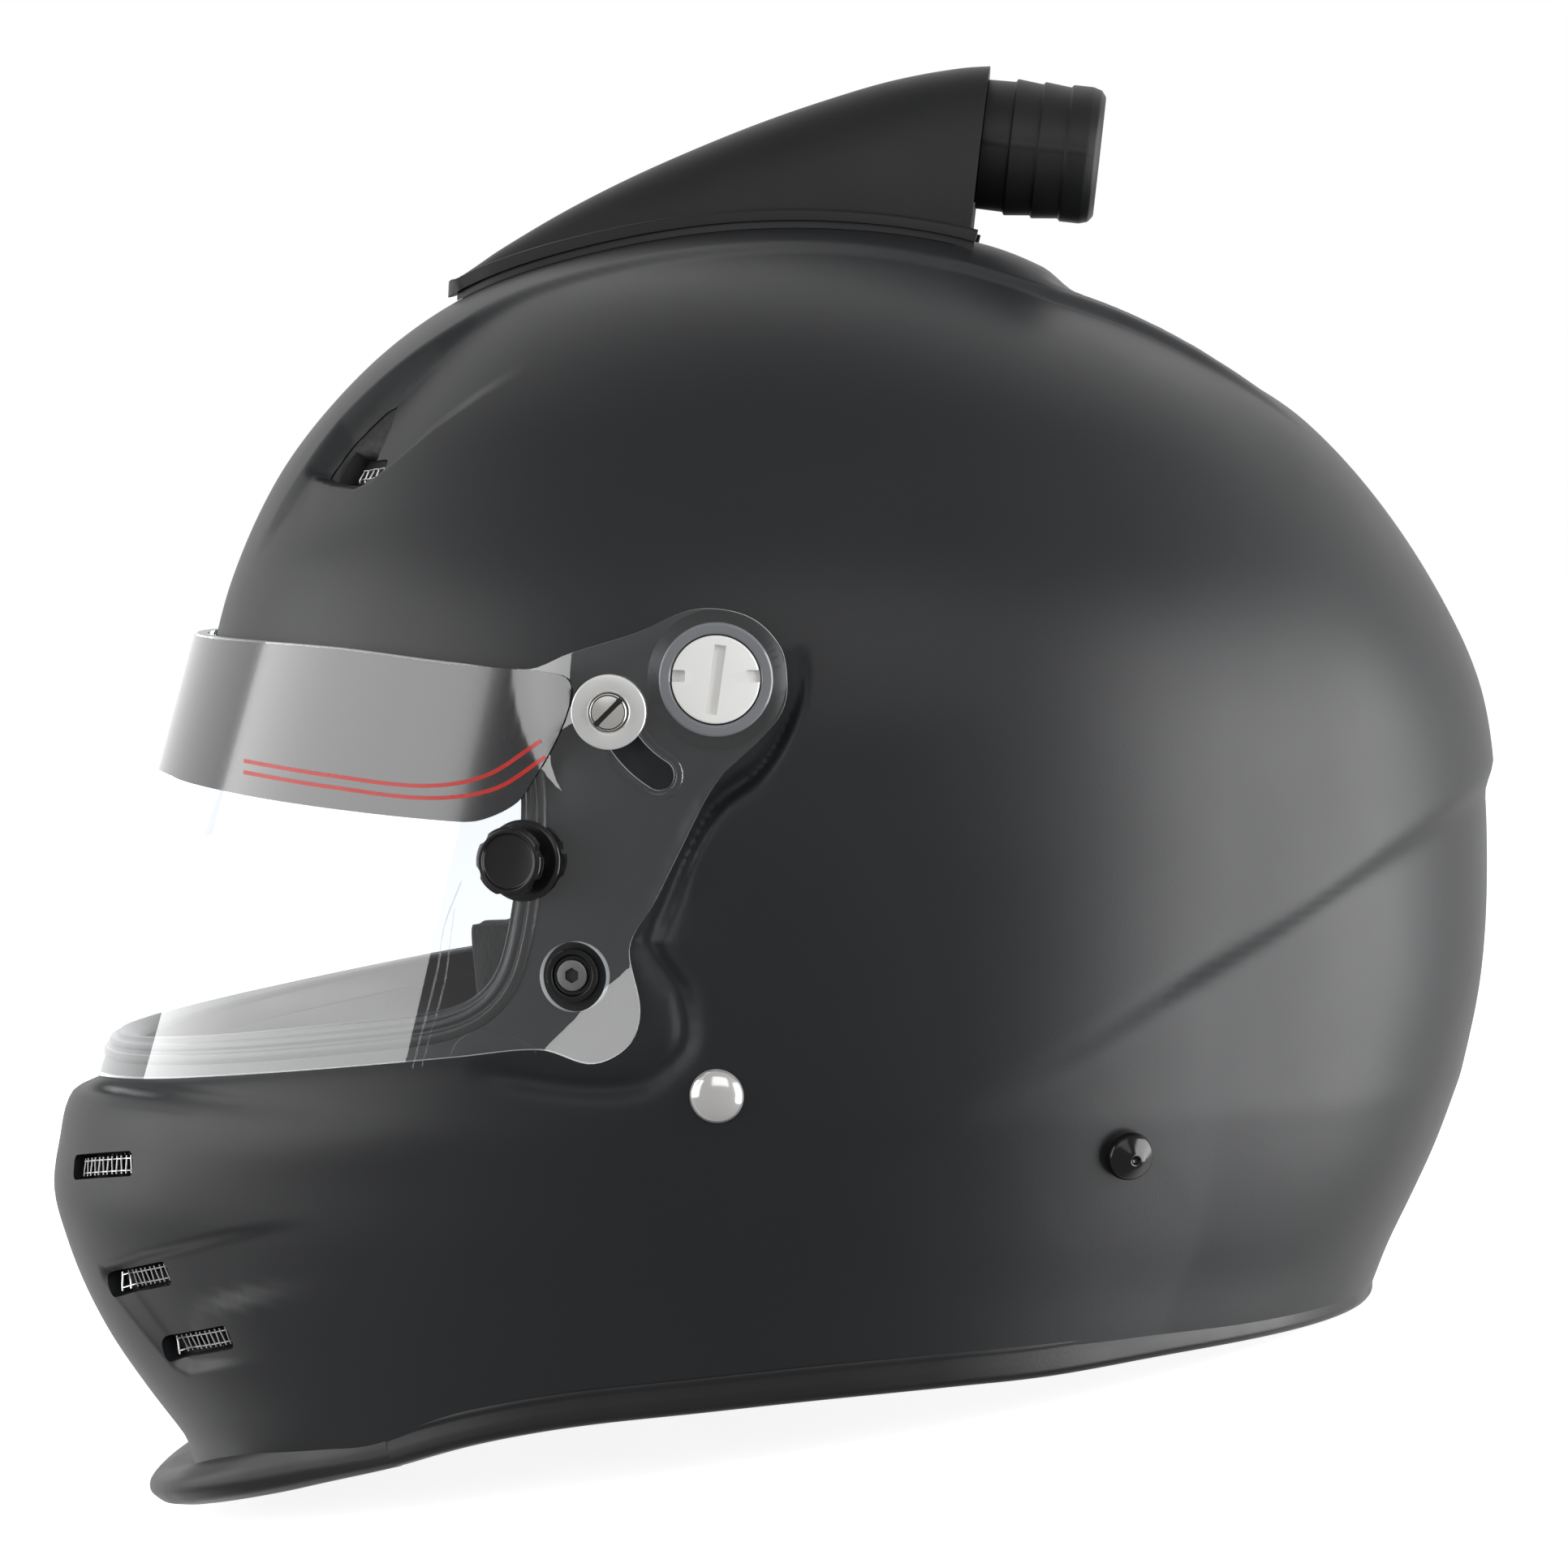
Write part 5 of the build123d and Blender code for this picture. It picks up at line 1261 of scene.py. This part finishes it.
def anchor_plug():
    return spun([(0, -4.2), (3.0, -4.2), (3.0, 0.3), (5.3, 0.3), (5.5, 0.9), (5.0, 2.3), (2.3, 3.9),
                 (1.6, 4.25), (0.9, 4.3), (0.7, 3.6), (0, 3.5)], radius=0.5, steps=72)


for side in ("left", "right"):
    for node, make, place, material, slot in (
            ("strap_rivet", strap_rivet, rivet_seat, chrome_bright, "chrome_steel"),
            ("anchor_plug", anchor_plug, anchor_seat, plug_black, "gloss_plug")):
        made(sided(set_at(make(), place), side), f"{node}_domed_{side}", material, "helmet",
             [f"{node}_{side}"], sharp=40)

# %% [markdown]
# The air duct is one blow-moulded hood. Its cross-sections are arches that grow
# to the rear, where a flat face carries the hose spigot. A thin flange runs
# round its foot, where it is bonded to the shell over a seal.

# %% Duct hood
duct_stations = np.array([
    (-75.8, 118.9, 6.5), (-72.0, 121.3, 8.2), (-65.7, 125.4, 10.4), (-50.5, 134.1, 13.8),
    (-35.3, 141.7, 16.6), (-20.1, 148.4, 18.7), (-4.9, 154.5, 20.2), (10.3, 159.8, 21.2),
    (25.5, 164.3, 21.6), (40.7, 167.1, 21.7), (52.0, 167.8, 21.7)])
spigot_y, spigot_z, spigot_fall = 46.0, 149.7, math.tan(math.radians(6.3))


def crown_line(y):
    """Height of the shell's middle line along the top."""
    low, high = np.zeros(y.shape), np.full(y.shape, crown_height)
    for _ in range(40):
        z = (low + high) / 2
        front, rear, _, _ = section(z)
        within = (front < y) & (y < rear)
        low, high = np.where(within, z, low), np.where(within, high, z)
    return low


def duct_mesh(shrink=0.0, columns=150, rows=120):
    """The hood as a closed mesh whose rear end lies in the spigot's plane."""
    first, last = duct_stations[0, 0], spigot_y + spigot_fall * 18

    def place(u, v):
        y = first + (last - first) * u
        top = smooth(duct_stations[:, 0], duct_stations[:, 1], y) - shrink
        wide = smooth(duct_stations[:, 0], duct_stations[:, 2], y) - shrink
        root = crown_line(y) - 14
        turn = math.pi * v
        x = np.copysign(np.abs(np.cos(turn)) ** 0.72, np.cos(turn)) * wide
        z = root + (top - root) * np.abs(np.sin(turn)) ** 0.72
        y = first + (spigot_y + spigot_fall * (z - spigot_z) - shrink - first) * u
        return np.stack([x, y, z], -1)

    return closed_ends(mapped(columns, rows, place))


def foot_height(points):
    """Height of points above the shell's top, roughly along its normal."""
    x, y, z = points.T
    return z - crown_line(y) + x ** 2 / 190


def foot_line(height, count=90):
    """The hood's own line at a steady height over the shell, from right rear round to left rear."""
    arc = np.linspace(0, math.pi / 2, 400)
    run = []
    for y in np.linspace(spigot_y - 1.0, duct_stations[0, 0] + 0.6, count):
        at = np.full(1, y)
        top, wide = (smooth(duct_stations[:, 0], duct_stations[:, k], at)[0] for k in (1, 2))
        root = crown_line(at)[0] - 14
        x, z = wide * np.cos(arc) ** 0.72, root + (top - root) * np.sin(arc) ** 0.72
        t = np.interp(height, foot_height(np.stack([x, y + 0 * x, z], -1)), arc)
        run.append((np.interp(t, arc, x), y, np.interp(t, arc, z)))
    run = np.array(run)
    run = np.concatenate([run * (-1, 1, 1), [(0, run[-1, 1] - 0.8, run[-1, 2])], run[::-1]])
    return curve_through(run, 360)


seal_low, seal_high, flange_middle = 0.1, 1.9, 2.7
hood = duct_mesh()
foot = foot_line(flange_middle)
tangent = np.gradient(foot, axis=0)
foot_out = np.stack([tangent[:, 1], -tangent[:, 0], 0 * foot[:, 0]], -1)
flange_profile = softened([(-3.0, -1.6), (2.1, -1.6), (2.1, 1.7), (1.6, 2.3), (-3.0, 2.5)],
                          0.3, 2, closed=True)
hood = combined(hood, swept(foot, foot_out, flange_profile), "UNION")
rear_edges = [edge for edge in hood.edges if edge.calc_face_angle(0) > 1.0 and edge.verts[0].co.y > 38
              and edge.verts[0].co.z > 122 and edge.verts[1].co.z > 122]
bmesh.ops.bevel(hood, geom=rear_edges, offset=1.3, segments=4, profile=0.5, affect="EDGES", material=-1,
                clamp_overlap=True)
hood = combined(hood, form_mesh(seal_high + 0.1, 200, 120))
made(hood, "duct_hood", duct_black, "helmet", ["duct_body"], sharp=38)

# %% [markdown]
# The seal is a strip of soft foam between hood and shell, cut from the same two
# forms.

# %% Duct seal
seal_margin = 1.2
seal = combined(form_mesh(seal_high, 200, 120), form_mesh(seal_low, 200, 120))
seal = combined(seal, duct_mesh(-seal_margin), "INTERSECT")
seal = combined(seal, set_at(block(17, 35, 100, 170, corner=8), under_duct))
made(seal, "seal_strip", gasket_black, "helmet", ["duct_seal"])

# %% [markdown]
# The hose spigot is turned: a neck and three stepped barbs that grip the hose.
# A fine parting line shows where the halves of its mould met.

# %% Hose spigot
bore, hose_radius = 12.6, 15.875
spigot_profile = [
    (bore, -3.7), (15.0, -3.7), (15.0, -2.3), (13.6, -2.3), (13.6, 0.05), (15.0, 0.05), (15.15, 6.5),
    (hose_radius, 6.8), (15.25, 12.9), (hose_radius, 13.2), (15.25, 19.4), (hose_radius, 19.8),
    (hose_radius, 24.4), (15.3, 26.4), (13.9, 27.5), (13.0, 27.6), (bore, 27.0), (bore, -3.7)]
spigot = spun(spigot_profile, radius=0.3, steps=160)
parting_height = 0.16
for vert in spigot.verts:
    radius = math.hypot(vert.co.x, vert.co.y)
    if radius > 14.5 and vert.co.z > 0.2 and abs(vert.co.y) < 0.25:
        vert.co.x *= 1 + parting_height / radius
across, spigot_axis = Vector((1, 0, 0)), Vector((0, 1, -spigot_fall)).normalized()
spigot_axes = Matrix((across, spigot_axis.cross(across), spigot_axis)).transposed().to_4x4()
spigot = set_at(spigot, Matrix.Translation((0, spigot_y, spigot_z)) @ spigot_axes)
made(spigot, "spigot_barbed", duct_black, "helmet", ["hose_spigot"], sharp=50)

# %% [markdown]
# Inside are the parts that a wearer meets. Bead foam shows its fused beads as
# small rounded cells. The liner cloth is a fine knit with a soft sheen, and the
# strap is flat webbing with ribs along its length.

# %% Foam, cloth and webbing finishes


def cell_bump(material, scale, strength, depth, stretch=(1, 1, 1)):
    """Rounded cells as the bump of a material."""
    nodes, links = material.node_tree.nodes, material.node_tree.links
    where = nodes.new("ShaderNodeTexCoord").outputs["Object"]
    shape = added(nodes, "Mapping", {"Scale": stretch})
    cells = added(nodes, "TexVoronoi", {"Scale": scale})
    links.new(where, shape.inputs["Vector"])
    links.new(shape.outputs["Vector"], cells.inputs["Vector"])
    height = height_of(material)
    links.new(cells.outputs["Distance"], height.inputs["Height"])
    height.invert = True
    height.inputs["Strength"].default_value, height.inputs["Distance"].default_value = strength, depth


bead_foam = finish("liner_bead_foam", (0.022, 0.022, 0.023), 0.72, vary=0.20, specular=0.35)
cell_bump(bead_foam, 380, 0.5, 0.0006)
liner_cloth = finish("liner_knit", (0.014, 0.014, 0.015), 0.86, vary=0.16, specular=0.25, sheen=0.25)
cell_bump(liner_cloth, 900, 0.45, 0.0004, stretch=(1, 1, 0.55))

strap_fall = Vector((0, -66.0 + 9.3, -128.0 + 60.1)).normalized()
strap_width_way = Vector((0, -strap_fall.z, strap_fall.y))


def woven(name, colour, across_way):
    """Webbing: ribs along the strap, made slightly wavy."""
    material = finish(name, colour, 0.66, vary=0.14, specular=0.35, sheen=0.15)
    nodes, links = material.node_tree.nodes, material.node_tree.links
    where = nodes.new("ShaderNodeTexCoord").outputs["Object"]
    upright = across_way.rotation_difference(Vector((0, 0, 1))).to_euler()
    turn = added(nodes, "Mapping", {"Rotation": upright})
    ribs = added(nodes, "TexWave", {"Scale": 130, "Distortion": 0.6})
    ribs.bands_direction = "Z"
    links.new(where, turn.inputs["Vector"])
    links.new(turn.outputs["Vector"], ribs.inputs["Vector"])
    height = height_of(material)
    links.new(ribs.outputs["Fac"], height.inputs["Height"])
    height.inputs["Strength"].default_value, height.inputs["Distance"].default_value = 0.5, 0.0004
    return material


webbing_black = woven("strap_webbing", (0.020, 0.020, 0.021), tip.to_3x3() @ strap_width_way)
print("liner finishes ready")

# %% [markdown]
# Rigid inner pieces and the straps keep their CAD form. A copy is welded and
# smooth shaded up to a set angle, as moulded parts are. The stamped hanger
# plates are given a fine round along their edges too.

# %% Inner rigid pieces


def loose_copy(node):
    """A welded copy of a CAD node's mesh, in metres."""
    bm = bmesh.new()
    bm.from_mesh(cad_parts[node].data)
    bmesh.ops.remove_doubles(bm, verts=bm.verts, dist=2e-6)
    bmesh.ops.recalc_face_normals(bm, faces=bm.faces)
    return bm


def kept_form(node, name, material, body="helmet", sharp=28.0, soften_by=0.0):
    bm = loose_copy(node)
    if soften_by:
        bmesh.ops.dissolve_limit(bm, angle_limit=math.radians(2), verts=bm.verts, edges=bm.edges)
        crisp = [edge for edge in bm.edges if len(edge.link_faces) == 2 and edge.calc_face_angle() > 0.7]
        bmesh.ops.bevel(bm, geom=crisp, offset=soften_by, segments=2, profile=0.5, affect="EDGES",
                        material=-1, clamp_overlap=True)
    return dressed(bm, name, material, body, [node], sharp)


for node, name, material, slot, sharp in (
        ("foam_liner", "foam_moulded", bead_foam, "liner_foam", 28),
        ("chin_bar_foam", "chin_foam_moulded", bead_foam, "liner_foam", 28),
        ("strap_snap", "strap_press_snap", hardware_black, "black_plastic", 35),
        ("chin_strap_long", "strap_long_woven", webbing_black, "webbing", 50),
        ("chin_strap_short", "strap_short_woven", webbing_black, "webbing", 50),
        ("d_ring_upper", "buckle_ring_upper", steel_bright, "bright_steel", 60),
        ("d_ring_lower", "buckle_ring_lower", steel_bright, "bright_steel", 60)):
    kept_form(node, name, material, sharp=sharp)
for side in ("left", "right"):
    kept_form("strap_hanger_" + side, "hanger_plate_" + side, steel_bright, soften_by=0.0002)
    for node, name, material, slot, body in (
            ("pivot_hub_", "hub_moulded_", shell_black, "black_plastic", "helmet"),
            ("pivot_screw_", "hub_screw_", steel_bright, "bright_steel", "helmet"),
            ("slot_bush_", "slot_spacer_", hardware_black, "black_plastic", "helmet"),
            ("tearoff_nut_", "tearoff_lock_nut_", hardware_black, "black_plastic", "visor_frame"),
            ("anchor_insert_", "anchor_thread_", brass_plain, "brass_insert", "helmet")):
        kept_form(node + side, name + side, material, body, sharp=35)
kept_form("shell_inserts", "thread_inserts", brass_plain, sharp=35)

# %% [markdown]
# The comfort liner is a cap of thin padding sewn into pillows. Its outside
# follows the foam; its inside is pushed out between seam lines and drawn in
# along them.

# %% Comfort liner
liner_outside, liner_padding, liner_bottom = 38.7, 5.6, 18.0


def seam_distance(points):
    """Distance to the nearest sewn channel of the cap."""
    x, y, _ = points.T
    across = np.abs(((np.abs(x) + 16) % 32) - 16 + 0 * y)
    channels_y = np.array([-58, -24, 10, 44, 78])
    along = np.min(np.abs(y[:, None] - channels_y[None]), 1)
    return np.minimum(16 - across, along)


cap_inside = form_mesh(-liner_outside - liner_padding, 260, 170)
cap_inside.normal_update()
for vert, away in zip(cap_inside.verts, seam_distance(np.array([vert.co[:] for vert in cap_inside.verts]))):
    pillow = float(1 - math.exp(-(away / 5) ** 2))
    vert.co += vert.normal * (2.8 * (1 - pillow) - 0.6)
face_cut = [(-400, 0), (-400, 34), (-64, 34), (-44, 14), (-44, 0)]
cap = combined(form_mesh(-liner_outside, 160, 110), cap_inside)
cap = combined(cap, prism([(-300, -300), (300, -300), (300, liner_bottom), (-300, liner_bottom)]))
cap = combined(cap, prism(face_cut))
made(cap, "comfort_cap_quilted", liner_cloth, "helmet", ["comfort_liner"], sharp=60)

# %% [markdown]
# Cheek pads and the neck roll are foam in a sewn cover. Cloth simulation blows
# each one up a little from a slightly smaller shape, so that its faces crown
# and its edges round, and the movement is capped so that it stays in its space.
# The tops of the cheek pads are then pressed down to where the picture has them.

# %% Padded pieces
cloth_frames = 20


def plumped(node, voxel=0.0045, shrink=0.0016, cap=0.005):
    """A pillow made from a CAD solid by voxel remeshing and a short cloth simulation."""
    start = loose_copy(node)
    for vert in start.verts:
        vert.co -= vert.normal * shrink
    pad = stand_in(start, node + "_pillow")
    pad.data.materials.clear()
    remesh = pad.modifiers.new("remesh", "REMESH")
    remesh.mode, remesh.voxel_size = "VOXEL", voxel
    apply_modifiers(pad)
    rest = np.array([vert.co[:] for vert in pad.data.vertices])
    cloth = pad.modifiers.new("cloth", "CLOTH")
    cloth.settings.use_pressure = True
    cloth.settings.uniform_pressure_force = 4
    cloth.settings.effector_weights.gravity = 0
    cloth.settings.quality = 4
    scene = bpy.context.scene
    for frame_number in range(1, cloth_frames + 1):
        scene.frame_set(frame_number)
    apply_modifiers(pad)
    scene.frame_set(1)
    moved = np.array([vert.co[:] for vert in pad.data.vertices]) - rest
    length = np.linalg.norm(moved, axis=1)
    held = rest + moved * np.minimum(1, cap / np.maximum(length, 1e-9))[:, None]
    pad.data.vertices.foreach_set("co", held.ravel())
    smooth_pass = pad.modifiers.new("smooth", "SMOOTH")
    smooth_pass.iterations = 3
    divide = pad.modifiers.new("divide", "SUBSURF")
    divide.levels = divide.render_levels = 1
    apply_modifiers(pad)
    bm = bmesh.new()
    bm.from_mesh(pad.data)
    mesh = pad.data
    bpy.data.objects.remove(pad)
    bpy.data.meshes.remove(mesh)
    bmesh.ops.transform(bm, matrix=worn.inverted(), verts=bm.verts)
    return bm


def apply_modifiers(thing):
    shaped = bpy.data.meshes.new_from_object(thing.evaluated_get(bpy.context.evaluated_depsgraph_get()))
    old = thing.data
    thing.modifiers.clear()
    thing.data = shaped
    bpy.data.meshes.remove(old)


cheek = plumped("cheek_pad_left")
cheek_top, front_start, pressed_share = -28.0, -58, 0.88
for vert in cheek.verts:
    over = vert.co.z - (cheek_top + 4 * max(0, vert.co.y - front_start))
    vert.co.z -= pressed_share * max(0, over)
for side, bm in (("left", cheek.copy()), ("right", mirrored(cheek))):
    node = "cheek_pad_" + side
    pad = made(bm, "cheek_cushion_" + side, liner_cloth, "helmet", [node], sharp=80)
cheek.free()
roll = plumped("neck_roll", shrink=0.0022, cap=0.004)
roll = made(roll, "neck_cushion", liner_cloth, "helmet", ["neck_roll"], sharp=80)

# %% [markdown]
# The camera stands where the photographer's did: level with the visor, a metre
# and a half to the wearer's left. The helmet rests tipped back, and the picture
# shows it as it is worn, so the camera is rolled by that tilt.

# %% Camera
upwards = tip.to_3x3() @ Vector((0, 0, 1))


def facing(place, aim):
    """The pose of a camera or lamp that stands at a place and looks at an aim."""
    back = (place - aim).normalized()
    right = upwards.cross(back).normalized()
    return Matrix.Translation(place) @ Matrix((right, back.cross(right), back)).transposed().to_4x4()


camera_distance, camera_behind, camera_above = 1500, 65, 86
helmet_middle = worn @ Vector((0, 0, 0))
camera_place = worn @ Vector((camera_distance, camera_behind, camera_above))
camera = bpy.data.objects.new("camera", bpy.data.cameras.new("camera"))
camera.matrix_world = facing(camera_place, helmet_middle)
camera.data.sensor_width, camera.data.lens = 36, 147.5
camera.data.shift_y = 0.0016
camera.data.clip_start, camera.data.clip_end = 0.05, 50
bpy.context.scene.collection.objects.link(camera)
bpy.context.scene.camera = camera
print("camera", [round(value, 3) for value in camera_place])

# %% [markdown]
# The helmet is lit by two large soft boxes, one before it and one behind it, so
# that the dark side between them reads as satin black with two broad soft
# highlights. A weak panel near the camera fills the rest.

# %% Lights


def soft_box(name, towards, distance, width, height, power):
    """A rectangular light set in a direction of the worn attitude, in metres."""
    place = tip.to_3x3() @ Vector(towards).normalized() * distance + helmet_middle
    light = bpy.data.lights.new(name, "AREA")
    light.shape, light.size, light.size_y, light.energy = "RECTANGLE", width, height, power
    lamp = bpy.data.objects.new(name, light)
    lamp.matrix_world = facing(place, helmet_middle)
    lamp.visible_camera = False
    bpy.context.scene.collection.objects.link(lamp)
    return lamp


soft_box("front_box", (0.16, -1.0, 0.15), 1.9, 2.1, 1.5, 24)
soft_box("rear_box", (0.26, 1.0, 0.0), 1.9, 2.4, 2.0, 88)
soft_box("side_fill", (1.0, 0.0, 0.55), 2.4, 1.8, 1.4, 8.5)

# %% [markdown]
# The background is white, as in a product picture. Camera rays, and rays through
# the clear screen, see it at full strength. Reflections see a room that is dark
# on the camera's side and white beyond the helmet, which keeps satin black
# black. The floor takes the contact shadow and otherwise disappears.

# %% Floor and background
world = bpy.data.worlds.new("studio")
bpy.context.scene.world = world
world.use_nodes = True
nodes, links = world.node_tree.nodes, world.node_tree.links
backdrop = nodes["Background"]
path_kind = nodes.new("ShaderNodeLightPath")
either, seen = added(nodes, "Math", {}), added(nodes, "Math", {})
for maths in (either, seen):
    maths.operation, maths.use_clamp = "ADD", True
links.new(path_kind.outputs["Is Camera Ray"], either.inputs[0])
links.new(path_kind.outputs["Is Transmission Ray"], either.inputs[1])
links.new(either.outputs[0], seen.inputs[0])
split = nodes.new("ShaderNodeSeparateXYZ")
links.new(nodes.new("ShaderNodeTexCoord").outputs["Generated"], split.inputs[0])
room = added(nodes, "MapRange", {"From Min": 0.05, "From Max": -0.50, "To Min": 0.25, "To Max": 1.0})
links.new(split.outputs["X"], room.inputs["Value"])
mirror_level = added(nodes, "Math", {})
mirror_level.operation = "MULTIPLY"
links.new(room.outputs["Result"], mirror_level.inputs[0])
links.new(path_kind.outputs["Is Glossy Ray"], mirror_level.inputs[1])
links.new(mirror_level.outputs[0], seen.inputs[1])
level = added(nodes, "Math", {1: 0.30})
level.operation = "MAXIMUM"
links.new(seen.outputs[0], level.inputs[0])
links.new(level.outputs[0], backdrop.inputs["Strength"])
backdrop.inputs["Color"].default_value = (1, 1, 1, 1)

floor_bm = bmesh.new()
bmesh.ops.create_grid(floor_bm, x_segments=8, y_segments=8, size=4)
floor = stand_in(floor_bm, "floor")
floor_white = bpy.data.materials.new("floor_paper")
floor_white.use_nodes = True
nodes, links = floor_white.node_tree.nodes, floor_white.node_tree.links
shader = nodes["Principled BSDF"]
for socket, value in (("Roughness", 0.9), ("Specular IOR Level", 0.0), ("Emission Strength", 0.88),
                      ("Emission Color", (1, 1, 1, 1))):
    shader.inputs[socket].default_value = value
paper = added(nodes, "TexNoise", {"Scale": 300})
paper_tone = added(nodes, "MapRange", {"To Min": 0.84, "To Max": 0.88})
links.new(nodes.new("ShaderNodeTexCoord").outputs["Object"], paper.inputs["Vector"])
links.new(paper.outputs["Fac"], paper_tone.inputs["Value"])
links.new(paper_tone.outputs["Result"], shader.inputs["Base Color"])
floor.data.materials.append(floor_white)
floor.visible_glossy = floor.visible_diffuse = False
bpy.context.scene.view_settings.view_transform = "Standard"
print("stage ready")
